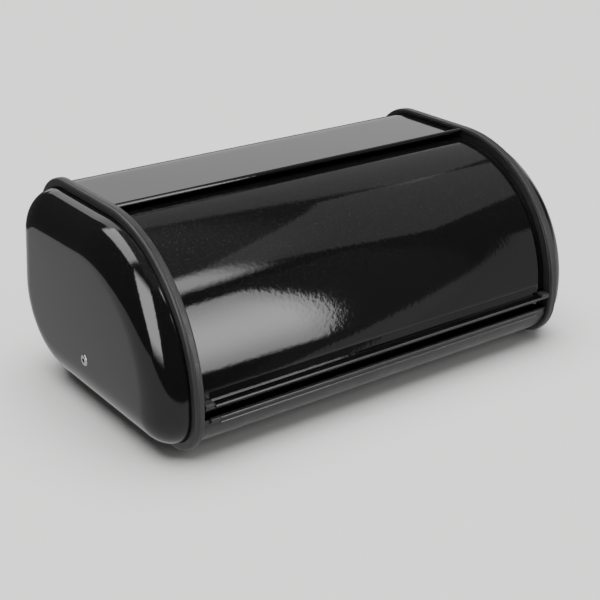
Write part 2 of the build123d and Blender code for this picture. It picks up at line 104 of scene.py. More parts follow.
# ---- node trees ----------------------------------------------------------------------------------
class Value:
    """A socket whose operators add Math nodes to its tree."""

    def __init__(self, graph: "Graph", socket: bpy.types.NodeSocket) -> None:
        """Wraps a socket.

        Args:
            graph: The tree that the socket belongs to.
            socket: The output socket.
        """
        self.graph = graph
        self.socket = socket

    def _math(self, operation: str, *terms: Any) -> "Value":
        """One Math node on the given terms."""
        return self.graph.value("ShaderNodeMath", {"operation": operation}, dict(enumerate(terms)))

    def __add__(self, other: Any) -> "Value":
        """Sum."""
        return self._math("ADD", self, other)

    __radd__ = __add__

    def __sub__(self, other: Any) -> "Value":
        """Difference."""
        return self._math("SUBTRACT", self, other)

    def __rsub__(self, other: Any) -> "Value":
        """Difference from a number."""
        return self._math("SUBTRACT", other, self)

    def __mul__(self, other: Any) -> "Value":
        """Product."""
        return self._math("MULTIPLY", self, other)

    __rmul__ = __mul__

    def __truediv__(self, other: Any) -> "Value":
        """Quotient."""
        return self._math("DIVIDE", self, other)

    def __pow__(self, other: Any) -> "Value":
        """Power."""
        return self._math("POWER", self, other)

    def __gt__(self, other: Any) -> "Value":
        """1 where the value is greater, else 0."""
        return self._math("GREATER_THAN", self, other)

    def least(self, other: Any) -> "Value":
        """The lesser of two values."""
        return self._math("MINIMUM", self, other)

    def size(self) -> "Value":
        """The value without its sign."""
        return self._math("ABSOLUTE", self)

    def sine(self) -> "Value":
        """Sine of an angle in radians."""
        return self._math("SINE", self)

    def cosine(self) -> "Value":
        """Cosine of an angle in radians."""
        return self._math("COSINE", self)

    def ramped(self, low: float, high: float) -> "Value":
        """0 below low and 1 above high, with a smooth step between.

        Args:
            low: Where the step starts.
            high: Where it ends.

        Returns:
            The stepped value.
        """
        ends = {0: self, 1: low, 2: high, 3: 0.0, 4: 1.0}
        return self.graph.value("ShaderNodeMapRange", {"interpolation_type": "SMOOTHSTEP"}, ends)


class Graph:
    """A node tree and the one method that adds nodes to it."""

    def __init__(self, tree: bpy.types.NodeTree) -> None:
        """Takes an empty tree."""
        self.tree = tree

    def node(self, kind: str, settings: Settings | None = None, inputs: Inputs | None = None) -> Any:
        """Adds a node.

        Args:
            kind: The node's type.
            settings: Attributes that are set first, such as an operation.
            inputs: Values or links, by the socket's name or number.

        Returns:
            The new node.
        """
        made = self.tree.nodes.new(kind)
        for key, setting in (settings or {}).items():
            setattr(made, key, setting)
        for key, given in (inputs or {}).items():
            self.feed(made.inputs[key], given)
        return made

    def feed(self, socket: bpy.types.NodeSocket, given: Any) -> None:
        """Links a value to a socket, or sets the socket's own value.

        Args:
            socket: The input socket.
            given: A wrapped or plain output socket to link, or what the socket itself is set to.
        """
        if isinstance(given, Value):
            self.tree.links.new(given.socket, socket)
        elif isinstance(given, bpy.types.NodeSocket):
            self.tree.links.new(given, socket)
        else:
            socket.default_value = given

    def value(
        self,
        kind: str,
        settings: Settings | None = None,
        inputs: Inputs | None = None,
        output: int | str = 0,
    ) -> Value:
        """Adds a node and wraps one of its outputs."""
        return Value(self, self.node(kind, settings, inputs).outputs[output])

    def axes(self, where: Any) -> tuple[Value, ...]:
        """The three parts of a vector."""
        parts = self.node("ShaderNodeSeparateXYZ", inputs={0: where}).outputs
        return tuple(Value(self, part) for part in parts)

    def mixed(self, factor: Any, first: Any, second: Any) -> Value:
        """Blends two colours by a factor."""
        inputs = {0: factor, 6: first, 7: second}
        return self.value("ShaderNodeMix", {"data_type": "RGBA"}, inputs, output=2)


def grey(level: float, warmth: float = 0.0) -> Colour:
    """A near-grey colour.

    Args:
        level: Linear brightness.
        warmth: How far red is raised and blue lowered, as a share.

    Returns:
        The colour with full alpha.
    """
    return (level * (1 + warmth), level, level * (1 - warmth), 1.0)


# ---- finishes ------------------------------------------------------------------------------------
def new_material(name: str) -> tuple[bpy.types.Material, Graph]:
    """An empty material with its node graph.

    Args:
        name: The material's name.

    Returns:
        The material and the graph of its tree.
    """
    made = bpy.data.materials.new(name)
    made.use_nodes = True
    made.node_tree.nodes.clear()
    return made, Graph(made.node_tree)


@dataclass(frozen=True)
class Finish:
    """What all finishes share: the slot they stand for and the patterns they are made of."""

    name: str
    slot: str

    def surface(self, graph: Graph) -> Inputs:
        """The principled shader's inputs, by name."""
        raise NotImplementedError

    def build(self) -> bpy.types.Material:
        """Makes the material once.

        Returns:
            The material, new or already made.
        """
        made = bpy.data.materials.get(self.name)
        if made is None:
            made, graph = new_material(self.name)
            shader = graph.node("ShaderNodeBsdfPrincipled", inputs=self.surface(graph))
            graph.node("ShaderNodeOutputMaterial", inputs={"Surface": shader.outputs[0]})
        return made

    def place(self, graph: Graph, stretch: Point3 = (1.0, 1.0, 1.0)) -> Value:
        """Object coordinates, stretched along the axes."""
        where = graph.value("ShaderNodeTexCoord", output="Object")
        return graph.value("ShaderNodeMapping", inputs={"Vector": where, "Scale": stretch})

    def noise(
        self, graph: Graph, where: Value, size: float, detail: float = 2.0, rough: float = 0.5
    ) -> Value:
        """Noise of about the given feature size in metres, centred on one half."""
        settings = {"Vector": where, "Scale": 1 / size, "Detail": detail, "Roughness": rough}
        return graph.value("ShaderNodeTexNoise", inputs=settings)

    def dust(self, graph: Graph, where: Value, size: float, amount: float) -> Value:
        """Settled dust on what faces up.

        Args:
            graph: The material's graph.
            where: The pattern's coordinates.
            size: About how large a speck is.
            amount: How much of a speck shows.

        Returns:
            The dust's share over the surface.
        """
        upward = graph.axes(graph.value("ShaderNodeNewGeometry", output="Normal"))[2].ramped(0.1, 1.0)
        return self.noise(graph, where, size, detail=1.0).ramped(0.66, 0.72) * upward * amount

    def bumped(self, graph: Graph, height: Value, depth: float) -> Value:
        """A normal from a height field, with its depth in metres."""
        inputs = {"Height": height, "Distance": depth, "Strength": 1.0}
        return graph.value("ShaderNodeBump", inputs=inputs)


@dataclass(frozen=True)
class Enamel(Finish):
    """Glossy baked paint on steel sheet, with orange peel, a few fine scratches and settled dust."""

    level: float = 0.0035
    sheen_rough: float = 0.045
    peel_size: float = 3.4 * MM
    peel_depth: float = 0.030 * MM
    fine_peel: float = 0.22
    wave_size: float = 60 * MM
    wave_depth: float = 0.15 * MM
    smear_size: float = 45 * MM
    smear_rough: float = 0.025
    hair_size: float = 0.5 * MM
    hair_stretch: Point3 = (0.05, 1.0, 1.6)
    hair_patch: float = 30 * MM
    hair_rough: float = 0.12
    speck: float = 0.8 * MM
    dust_amount: float = 0.35
    dust_rough: float = 0.3
    dust_colour: Colour = grey(0.10, 0.04)
    index: float = 1.6

    def surface(self, graph: Graph) -> Inputs:
        """The principled shader's inputs.

        Args:
            graph: The material's graph.

        Returns:
            The inputs, by name.
        """
        where = self.place(graph)
        peel = self.noise(graph, where, self.peel_size, detail=1.0)
        fine = self.noise(graph, where, self.peel_size / 3, detail=1.0)
        wave = self.noise(graph, where, self.wave_size, detail=0.0)
        height = peel + fine * self.fine_peel + wave * (self.wave_depth / self.peel_depth)
        smear = self.noise(graph, where, self.smear_size, detail=4.0, rough=0.6).ramped(0.45, 0.75)
        drawn = self.place(graph, self.hair_stretch)
        hair = self.noise(graph, drawn, self.hair_size, detail=1.0).ramped(0.70, 0.74)
        patch = self.noise(graph, where, self.hair_patch, detail=1.0).ramped(0.55, 0.7)
        dust = self.dust(graph, where, self.speck, self.dust_amount)
        wear = smear * self.smear_rough + hair * patch * self.hair_rough + dust * self.dust_rough
        return {
            "Base Color": graph.mixed(dust, grey(self.level), self.dust_colour),
            "Roughness": wear + self.sheen_rough,
            "IOR": self.index,
            "Normal": self.bumped(graph, height, self.peel_depth),
        }


@dataclass(frozen=True)
class Moulding(Finish):
    """Moulded plastic or rubber: a fine grain, flow marks and rubbed patches."""

    level: float = 0.03
    warmth: float = 0.0
    rough: float = 0.42
    grain_size: float = 0.5 * MM
    grain_depth: float = 0.02 * MM
    rub: float = 0.12
    rub_size: float = 12 * MM
    flow_size: float = 22 * MM
    flow_stretch: Point3 = (3.0, 1.0, 1.0)
    flow_rough: float = 0.08
    flow_height: float = 0.6
    shades: Point2 = (0.82, 1.2)
    speck: float = 0.9 * MM
    dust_amount: float = 0.3
    dust_rough: float = 0.3
    dust_colour: Colour = grey(0.16, 0.04)

    def surface(self, graph: Graph) -> Inputs:
        """The principled shader's inputs.

        Args:
            graph: The material's graph.

        Returns:
            The inputs, by name.
        """
        where = self.place(graph)
        grain = self.noise(graph, where, self.grain_size, detail=2.0)
        flow = self.noise(graph, self.place(graph, self.flow_stretch), self.flow_size, detail=3.0)
        rubbed = self.noise(graph, where, self.rub_size, detail=3.0, rough=0.6).ramped(0.5, 0.72)
        dust = self.dust(graph, where, self.speck, self.dust_amount)
        base = graph.mixed(flow, *(grey(self.level * shade, self.warmth) for shade in self.shades))
        dull = self.rough + flow * self.flow_rough
        return {
            "Base Color": graph.mixed(dust, base, self.dust_colour),
            "Roughness": dull - rubbed * self.rub + dust * self.dust_rough,
            "Normal": self.bumped(graph, grain + flow * self.flow_height, self.grain_depth),
        }


@dataclass(frozen=True)
class Plate(Finish):
    """Plated or blackened metal: drawn streaks, fine pits and dull spots."""

    level: float = 0.6
    warmth: float = 0.01
    rough: float = 0.26
    streak: Point3 = (1.0, 1.0, 6.0)
    streak_size: float = 1.2 * MM
    pit_size: float = 0.35 * MM
    pit_height: float = 0.5
    depth: float = 0.012 * MM
    dull_size: float = 9 * MM
    dull_amount: float = 0.5
    dull_shade: float = 0.6
    shades: Point2 = (0.85, 1.1)

    def surface(self, graph: Graph) -> Inputs:
        """The principled shader's inputs.

        Args:
            graph: The material's graph.

        Returns:
            The inputs, by name.
        """
        where = self.place(graph)
        streaks = self.noise(graph, self.place(graph, self.streak), self.streak_size, detail=3.0)
        pits = self.noise(graph, where, self.pit_size, detail=1.0).ramped(0.62, 0.8)
        dull = self.noise(graph, where, self.dull_size, detail=4.0, rough=0.6).ramped(0.45, 0.75)
        bright = graph.mixed(streaks, *(grey(self.level * shade, self.warmth) for shade in self.shades))
        dimmed = grey(self.level * self.dull_shade, self.warmth)
        return {
            "Base Color": graph.mixed(dull * self.dull_amount, bright, dimmed),
            "Metallic": 1.0,
            "Roughness": self.rough + dull * 0.18 + streaks * 0.08,
            "Normal": self.bumped(graph, streaks - pits * self.pit_height, self.depth),
        }


@dataclass(frozen=True)
class BoredPlate(Plate):
    """Plated metal round a bore whose inside is painted dark and dull: painted shade inside the hole."""

    centre: Point2 = (0.0, 0.0)
    bore: float = 1.8 * MM
    edge: float = 0.35 * MM
    # Colour and extra roughness of the painted shade inside the bore.
    grease: Colour = grey(0.004)
    grease_rough: float = 0.5

    def surface(self, graph: Graph) -> Inputs:
        """The principled shader's inputs.

        Args:
            graph: The material's graph.

        Returns:
            The inputs, by name.
        """
        inputs = super().surface(graph)
        _, y, z = graph.axes(graph.value("ShaderNodeTexCoord", output="Object"))
        across, up = y - self.centre[0], z - self.centre[1]
        # Painted shade: the colour is darkened and dulled toward the bore's axis, where shade falls
        # inside the hole.
        inside = 1 - ((across * across + up * up) ** 0.5).ramped(self.bore, self.bore + self.edge)
        inputs["Base Color"] = graph.mixed(inside, inputs["Base Color"], self.grease)
        inputs["Roughness"] = inputs["Roughness"] + inside * self.grease_rough
        return inputs


@dataclass(frozen=True)
class Backdrop(Finish):
    """The studio's pale floor, with a faint mottle."""

    level: float = 0.78
    warmth: float = 0.01
    mottle_size: float = 0.4
    mottle_shade: float = 0.985

    def surface(self, graph: Graph) -> Inputs:
        """The principled shader's inputs.

        Args:
            graph: The material's graph.

        Returns:
            The inputs, by name.
        """
        mottle = self.noise(graph, self.place(graph), self.mottle_size)
        shades = (grey(self.level * share, self.warmth) for share in (self.mottle_shade, 1.0))
        return {
            "Base Color": graph.mixed(mottle, *shades),
            "Roughness": 0.9,
            "Specular IOR Level": 0.1,
        }


GLOSS = Enamel("gloss_black_enamel", "gloss_black")
SATIN = Moulding("satin_black_moulding", "satin_black", level=0.027, rough=0.40)
# Sill ribs: the lighter base colour is a painted highlight along each rib; the low roughness is their
# real gloss.
RIB_PAINTED_HIGHLIGHT = Moulding("rubbed_black_rib", "satin_black", level=0.08, rough=0.11)
# Rail's rolled edge: its base colour, lighter than the black enamel, is a painted highlight along the
# edge.
EDGE_PAINTED_HIGHLIGHT = Moulding("worn_enamel_edge", "gloss_black", level=0.06, rough=0.08)
RUBBER = Moulding(
    "black_rubber_pad", "black_rubber", level=0.015, rough=0.78, grain_size=0.8 * MM, rub=0.05
)
NYLON = Moulding(
    "natural_nylon", "natural_nylon", level=0.62, warmth=0.06, rough=0.45, grain_depth=0.008 * MM
)
ARM_STEEL = Plate("zinc_plated_strip", "arm_steel", level=0.42, rough=0.34)
RIVET_STEEL = Plate("bright_zinc_rivet", "bright_zinc", level=0.72, rough=0.2)
DARK_STEEL = Plate("blackened_screw", "dark_screw", level=0.09, rough=0.38)


# ---- mesh making ---------------------------------------------------------------------------------
def linked(name: str, data: bpy.types.ID) -> bpy.types.Object:
    """A new object, put in the scene.

    Args:
        name: The object's name.
        data: Its mesh, lamp or camera.

    Returns:
        The object.
    """
    made = bpy.data.objects.new(name, data)
    bpy.context.scene.collection.objects.link(made)
    return made


def working(mesh: bpy.types.Mesh) -> bmesh.types.BMesh:
    """A mesh's geometry, open for changes.

    Args:
        mesh: The mesh, which stays as it is.

    Returns:
        The geometry.
    """
    work = bmesh.new()
    work.from_mesh(mesh)
    return work


def settled(work: bmesh.types.BMesh, mesh: bpy.types.Mesh) -> bpy.types.Mesh:
    """Writes changed geometry to a mesh.

    Args:
        work: The changed geometry, which is used up.
        mesh: The mesh that takes it.

    Returns:
        The mesh.
    """
    work.to_mesh(mesh)
    work.free()
    return mesh


def block(place: Matrix, size: Sequence[float]) -> bmesh.types.BMesh:
    """A box, open for changes.

    Args:
        place: Where its middle is and how it is turned.
        size: Its three sides.

    Returns:
        The box's geometry.
    """
    work = bmesh.new()
    bmesh.ops.create_cube(work, size=1.0)
    bmesh.ops.transform(work, matrix=place @ Matrix.Diagonal((*size, 1)), verts=work.verts)
    return work


def eased(
    work: bmesh.types.BMesh, edges: Sequence[Any], radius: float, steps: int, clamped: bool = True
) -> None:
    """Rounds edges.

    Args:
        work: The geometry.
        edges: The edges to round.
        radius: How far the rounding reaches.
        steps: Faces across it.
        clamped: Keep roundings from running into each other.
    """
    rounding = {"offset": radius, "segments": steps, "profile": 0.5, "clamp_overlap": clamped}
    bmesh.ops.bevel(work, geom=edges, affect="EDGES", **rounding)


def finished(
    name: str,
    mesh: bpy.types.Mesh,
    finish: Finish,
    body: Body,
    stands_for: Iterable[str] = (),
    crease: float = 32.0,
    recalculate: bool = True,
) -> bpy.types.Object:
    """Turns a mesh into a piece: clean, smooth up to a crease angle, coloured and riding a body.

    Args:
        name: The piece's name.
        mesh: Its mesh, in the frame's axes.
        finish: What it is finished with.
        body: What it moves with.
        stands_for: CAD nodes that it is shown instead of.
        crease: Edges sharper than this many degrees stay sharp.
        recalculate: Turn the faces of a closed mesh outwards.

    Returns:
        The piece.
    """
    work = working(mesh)
    bmesh.ops.remove_doubles(work, verts=work.verts, dist=WELD)
    if recalculate:
        bmesh.ops.recalc_face_normals(work, faces=work.faces)
    settled(work, mesh)
    mesh.materials.clear()
    mesh.materials.append(finish.build())
    mesh.shade_smooth()
    mesh.set_sharp_from_angle(angle=math.radians(crease))
    piece = linked(name, mesh)
    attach(piece, body.value)
    if stands_for:
        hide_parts(*stands_for)
    LOG.info("%s: %d faces, rides %s", name, len(mesh.polygons), body.value)
    return piece


def loop_mesh(
    name: str, rings: Sequence[Sequence[Point3]], joined: bool, capped: bool
) -> bpy.types.Mesh:
    """A mesh through closed rings of equal length.

    Args:
        name: The mesh's name.
        rings: Each ring's points, in order round it.
        joined: Join the last ring to the first, as round a frame's section.
        capped: Close the first and last rings with a face.

    Returns:
        The mesh.
    """
    count, total = len(rings[0]), len(rings)
    points = [p for ring in rings for p in ring]
    faces = []
    for r in range(total if joined else total - 1):
        here, there = r * count, (r + 1) % total * count
        for k in range(count):
            n = (k + 1) % count
            faces.append((here + k, here + n, there + n, there + k))
    if capped:
        faces += [tuple(first + k for k in range(count)) for first in (0, (total - 1) * count)]
    mesh = bpy.data.meshes.new(name)
    mesh.from_pydata(points, [], faces)
    return mesh


def bar_mesh(name: str, section: Sequence[Point2], stations: Sequence[float]) -> bpy.types.Mesh:
    """A closed end-view section carried along X through the given stations."""
    rings = [[(x, y, z) for y, z in section] for x in stations]
    return loop_mesh(name, rings, joined=False, capped=True)


def stations(half: float, count: int = 2) -> list[float]:
    """Evenly spaced places along X, from one end of a bar to the other."""
    return [half * (2 * k / (count - 1) - 1) for k in range(count)]


def thickened(path: Sequence[Point2], thickness: float) -> list[Point2]:
    """A closed section: a path and its copy, set off to the path's left by a thickness.

    Args:
        path: The open path.
        thickness: How far the copy stands off.

    Returns:
        The section's points, the path first.
    """
    other = []
    for k, (y, z) in enumerate(path):
        before, after = path[max(k - 1, 0)], path[min(k + 1, len(path) - 1)]
        run = math.hypot(after[0] - before[0], after[1] - before[1])
        dy, dz = (after[0] - before[0]) / run, (after[1] - before[1]) / run
        other.append((y - dz * thickness, z + dy * thickness))
    return list(path) + other[::-1]


def arc(centre: Point2, radius: float, start: float, end: float, count: int) -> list[Point2]:
    """Points of an arc, with its angles in degrees from the first axis."""
    turns = [math.radians(start + (end - start) * k / (count - 1)) for k in range(count)]
    return [(centre[0] + radius * math.cos(t), centre[1] + radius * math.sin(t)) for t in turns]


def rounded(corners: Sequence[tuple[float, float, float]], steps: int = 5) -> list[Point2]:
    """A closed outline with rounded corners.

    Args:
        corners: Each corner's two coordinates and its radius.
        steps: Points along each rounded corner.

    Returns:
        The outline's points.
    """
    points: list[Point2] = []
    for k, (a, b, radius) in enumerate(corners):
        here = Vector((a, b))
        if radius <= 0:
            points.append((a, b))
            continue
        back = (Vector(corners[k - 1][:2]) - here).normalized()
        on = (Vector(corners[(k + 1) % len(corners)][:2]) - here).normalized()
        half = back.angle(on) / 2
        reach = radius / math.tan(half)
        middle = here + (back + on).normalized() * (radius / math.sin(half))
        first, last = here + back * reach - middle, here + on * reach - middle
        swing = first.angle_signed(last)
        for s in range(steps + 1):
            turned = Matrix.Rotation(-swing * s / steps, 2) @ first
            points.append(tuple(middle + turned))
    return points


def turned(
    name: str, profile: Sequence[Point2], centre: Point2, sign: int, count: int = 48
) -> bpy.types.Mesh:
    """A closed profile turned about an axis along X.

    Args:
        name: The mesh's name.
        profile: (radius, x) points of a closed section.
        centre: The axis in the end view.
        sign: Which way along X the profile faces.
        count: Points round the axis.

    Returns:
        The mesh.
    """
    end = 360 * (1 - 1 / count)
    rings = [[(sign * x, y, z) for y, z in arc(centre, radius, 0, end, count)] for radius, x in profile]
    return loop_mesh(name, rings, joined=True, capped=False)


def drilled(mesh: bpy.types.Mesh, cutters: Sequence[bpy.types.Mesh]) -> bpy.types.Mesh:
    """Cuts closed meshes out of a mesh.

    Args:
        mesh: The mesh to cut.
        cutters: What is taken away.

    Returns:
        The cut mesh.
    """
    target = linked("target", mesh)
    tools = [linked("tool", cutter) for cutter in cutters]
    for tool in tools:
        cut = target.modifiers.new("cut", "BOOLEAN")
        cut.object, cut.solver = tool, "EXACT"
    result = evaluated(target)
    for extra in (*tools, target):
        bpy.data.objects.remove(extra)
    return result


def evaluated(piece: bpy.types.Object) -> bpy.types.Mesh:
    """Applies an object's modifiers.

    Args:
        piece: The object, which stays as it is.

    Returns:
        The plain mesh.
    """
    bpy.context.view_layer.update()
    graph = bpy.context.evaluated_depsgraph_get()
    return bpy.data.meshes.new_from_object(piece.evaluated_get(graph), depsgraph=graph)


def recalculated(mesh: bpy.types.Mesh) -> bpy.types.Mesh:
    """Turns a closed mesh's faces outwards.

    Args:
        mesh: The mesh, which is changed.

    Returns:
        The same mesh.
    """
    work = working(mesh)
    bmesh.ops.recalc_face_normals(work, faces=work.faces)
    return settled(work, mesh)


# ---- the end view --------------------------------------------------------------------------------
@dataclass(frozen=True)
class EndView:
    """The box's end view: round front, flat top, leaning back. Every sheet and rim is an inset of it."""

    pivot: Point2
    height: float
    foot: float = 1.0 * MM
    lean: float = math.radians(7.2)
    back_foot: float = 134.2 * MM
    low_front: float = 36.0 * MM
    top_back: float = 47.0 * MM
    low_back: float = 74.0 * MM
    tightest: float = 6.0 * MM
    counts: tuple[int, ...] = (14, 22, 8, 26, 14, 20, 60)

    @property
    def radius(self) -> float:
        """Radius of the rim's round front."""
        return self.height - self.pivot[1]

    def on_arc(self, radius: float, angle: float) -> Point2:
        """The point at a radius from the pivot, at an angle in degrees above the front."""
        a = math.radians(angle)
        return (self.pivot[0] - radius * math.cos(a), self.pivot[1] + radius * math.sin(a))

    @property
    def back_normal(self) -> Vector:
        """The direction square to the leaning back."""
        return Vector((0, math.cos(self.lean), math.sin(self.lean)))

    def back_y(self, z: float, inset: float = 0.0) -> float:
        """How far back the leaning back is at a height, less an inset square to it."""
        return self.back_foot - inset / math.cos(self.lean) - z * math.tan(self.lean)

    def _corner(self, inset: float, radius: float, z: float) -> Point2:
        """Centre of a corner arc that touches the back, at a height."""
        return (self.back_y(z, inset + radius), z)

    def outline(self, inset: float) -> list[Point2]:
        """Points round the whole outline, from the top over the back to the front.

        Args:
            inset: How far inside the rim.

        Returns:
            The points, as many for every inset.
        """
        lean = math.degrees(self.lean)
        front, floor = self.radius - inset, self.foot + inset
        high = max(self.top_back - inset, self.tightest)
        deep = max(self.low_back - inset, self.tightest)
        low = max(self.low_front - inset, self.tightest)
        drop = math.degrees(math.asin((floor + low - self.pivot[1]) / (front - low)))
        arcs = [
            (self._corner(inset, high, self.height - inset - high), high, 90.0, lean, self.counts[1]),
            (self._corner(inset, deep, floor + deep), deep, lean, -90.0, self.counts[3]),
            (self.on_arc(front - low, drop), low, -90.0, -180.0 - drop, self.counts[5]),
            (self.pivot, front, 180.0 - drop, 90.0, self.counts[6]),
        ]
        swept = [arc(*a) for a in arcs]
        points: list[Point2] = []
        start = swept[3][-1]
        for turn, count in zip(swept[:3], self.counts[0:5:2]):
            (y, z), (dy, dz) = start, (turn[0][0] - start[0], turn[0][1] - start[1])
            points += [(y + dy * k / count, z + dz * k / count) for k in range(count)]
            points += turn
            start = turn[-1]
        return points + swept[3][1:-1]

    def part(self, inset: float, keep: Callable[[Point2], bool]) -> list[Point2]:
        """The one stretch of an outline that passes a test.

        Args:
            inset: How far inside the rim.
            keep: The test on a point.

        Returns:
            The stretch's points, in the outline's order.
        """
        points = self.outline(inset)
        kept = [keep(p) for p in points]
        first = next(k for k in range(len(points)) if kept[k] and not kept[k - 1])
        return list(itertools.takewhile(keep, points[first:] + points[:first]))


# ---- end frames ----------------------------------------------------------------------------------
@dataclass
class EndFrame:
    """A moulded rim at one end, with its screw lugs and rubber feet."""

    view: EndView
    side: Side
    inner_x: float = 176.4 * MM
    width: float = 7.6 * MM
    rim: float = 6.9 * MM
    web: float = 2.0 * MM
    web_inset: float = 16.0 * MM
    channel: float = 1.1 * MM
    wall: float = 1.6 * MM
    ridge: float = 0.7 * MM
    ridges: tuple[float, ...] = (3.1 * MM, 1.6 * MM)
    groove: float = 0.5 * MM
    groove_x: float = 4.9 * MM
    crest_round: float = 1.2 * MM
    face_round: float = 2.2 * MM
    chamfer: float = 0.5 * MM
    web_edge: float = 0.4 * MM
    slope: float = 0.12 * MM
    lip_edge: float = 0.3 * MM
    lip_ends: tuple[float, ...] = (1.2 * MM, 1.0 * MM, 1.4 * MM)
    lug: float = 9.0 * MM
    lug_reach: float = 10.0 * MM
    lug_bed: float = 0.3 * MM
    lug_edge: float = 0.8 * MM
    lug_inset: float = 9.9 * MM
    floor_lugs: tuple[Point2, ...] = ((-62 * MM, 11.7 * MM), (22 * MM, 11.7 * MM))
    back_lugs: Point2 = (88 * MM, 117 * MM)
    pad_corner: float = 1.4 * MM
    pad_edge: float = 0.35 * MM

    def section(self) -> list[Point2]:
        """The moulding's section.

        Returns:
            (inset, x) points, with x from the inner face.
        """
        width, web, rim, mouth = self.width, self.web, self.rim, self.groove_x - self.groove
        crest = rounded([(0, 0, self.crest_round), (0, mouth, 0), (rim, 0, 0)])[:6]
        face = arc((self.face_round + 0.1 * MM, width - self.face_round), self.face_round, 180, 90, 8)
        lip, end = rim + self.channel, rim + self.channel + self.wall
        lip_in, lip_top, lip_out = (width - back for back in self.lip_ends)
        edge, slope = self.web_edge, self.slope
        points = sorted(crest, key=lambda p: p[1])
        points += [
            (0.0, mouth),
            (self.groove * 0.7, self.groove_x - self.groove * 0.3),
            (self.groove * 0.7, self.groove_x + self.groove * 0.2),
            (slope, self.groove_x + self.groove),
        ]
        points += face
        points += [
            (rim - self.chamfer, width),
            (rim, width - self.chamfer),
            (rim, web),
            (lip, web),
            (lip, lip_in),
            (lip + self.lip_edge, lip_top),
            (end - self.lip_edge, lip_top),
            (end, lip_out),
            (end, web),
            (self.web_inset - edge, web),
            (self.web_inset, web - edge),
            (self.web_inset, edge),
            (self.web_inset - edge, 0.0),
        ]
        high = self.ridge
        for low in self.ridges:
            points += [(low + high, 0.0), (low + high - slope, -high), (low + slope, -high), (low, 0.0)]
        return points

    def build(self) -> None:
        """Makes the rim, the lugs and the feet."""
        name = f"{self.side.word}_end_frame"
        rings = [
            [(self.side.value * (self.inner_x + x), y, z) for y, z in self.view.outline(inset)]
            for inset, x in self.section()
        ]
        mesh = loop_mesh(name, rings, joined=True, capped=False)
        finished(f"{name}_moulding", mesh, SATIN, Body.BOX, [name], crease=40)
        self.lugs()
        self.feet()

    def lugs(self) -> None:
        """The bosses that the pan's and the shell's screws bite into."""
        view = self.view
        x = self.side.value * (self.inner_x - self.lug_reach / 2 + self.lug_bed)
        places = [(y, z, 0.0) for y, z in self.floor_lugs]
        places += [(view.back_y(z, self.lug_inset), z, view.lean) for z in self.back_lugs]
        for k, (y, z, turn) in enumerate(places):
            place = Matrix.Translation((x, y, z)) @ Matrix.Rotation(turn, 4, "X")
            work = block(place, (self.lug_reach, self.lug, self.lug))
            eased(work, work.edges[:], self.lug_edge, 3)
            mesh = settled(work, bpy.data.meshes.new("lug"))
            finished(f"{self.side.word}_frame_lug_{k + 1}", mesh, SATIN, Body.BOX)

    def feet(self) -> None:
        """Two rounded rubber pads under the rim."""
        for end in ("front", "rear"):
            node = f"{self.side.word}_{end}_foot"
            low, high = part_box(node)
            work = block(Matrix.Translation((low + high) / 2), high - low)
            half = (high.z - low.z) / 2
            upright = [e for e in work.edges if abs(e.verts[0].co.z - e.verts[1].co.z) > half]
            eased(work, upright, self.pad_corner, 4, clamped=False)
            rim = [e for e in work.edges if all(v.co.z < low.z + 0.1 * MM for v in e.verts)]
            eased(work, rim, self.pad_edge, 3, clamped=False)
            finished(f"{node}_pad", settled(work, bpy.data.meshes.new(node)), RUBBER, Body.BOX, [node])


# ---- domed end caps ------------------------------------------------------------------------------
@dataclass
class EndCap:
    """A pressed dome of painted sheet at one end."""

    view: EndView
    side: Side
    start_x: float = 184.0 * MM
    inset: float = 7.0 * MM
    depth: float = 26.0 * MM
    shoulder: float = 30.0 * MM
    skirt: float = 5.4 * MM
    sheet: float = 0.8 * MM
    steps: int = 26
    crown: float = 0.35 * MM
    crown_steps: int = 7
    hole: float = 2.7 * MM
    hole_span: Point2 = (200 * MM, 220 * MM)

    def _side_rings(self, thin: float) -> list[list[Point3]]:
        """Rings from the skirt over the shoulder to the middle, of the outer or inner surface.

        Args:
            thin: How far inside the outer surface.

        Returns:
            The rings.
        """
        rings = [(self.inset + thin, self.start_x - self.skirt)]
        for k in range(self.steps + 1):
            turn = math.pi / 2 * k / self.steps
            inset = self.inset + thin + self.shoulder * (1 - math.cos(turn))
            rings.append((inset, self.start_x + (self.depth - thin) * math.sin(turn)))
        sign = self.side.value
        made = [[(sign * x, y, z) for y, z in self.view.outline(inset)] for inset, x in rings]
        flat = made[-1]
        mid_y, mid_z = (sum(p[axis] for p in flat) / len(flat) for axis in (1, 2))
        for k in range(1, self.crown_steps):
            share = 1 - k / self.crown_steps
            x = sign * (abs(flat[0][0]) + self.crown * (1 - share**2))
            drawn_in = [(mid_y + (y - mid_y) * share, mid_z + (z - mid_z) * share) for _, y, z in flat]
            made.append([(x, y, z) for y, z in drawn_in])
        return made

    def build(self) -> None:
        """Makes the dome, open on the inside, with the rivet's hole."""
        name = f"{self.side.word}_end_cap"
        outer, inner = self._side_rings(0.0), self._side_rings(self.sheet)
        rings = outer[::-1] + inner
        mesh = recalculated(loop_mesh(name, rings, joined=False, capped=True))
        near, far = self.hole_span
        bit = [(NEEDLE, near), (self.hole, near), (self.hole, far), (NEEDLE, far)]
        cutter = recalculated(turned("hole", bit, self.view.pivot, self.side.value, 32))
        finished(f"{name}_dome", drilled(mesh, [cutter]), GLOSS, Body.BOX, [name], recalculate=False)


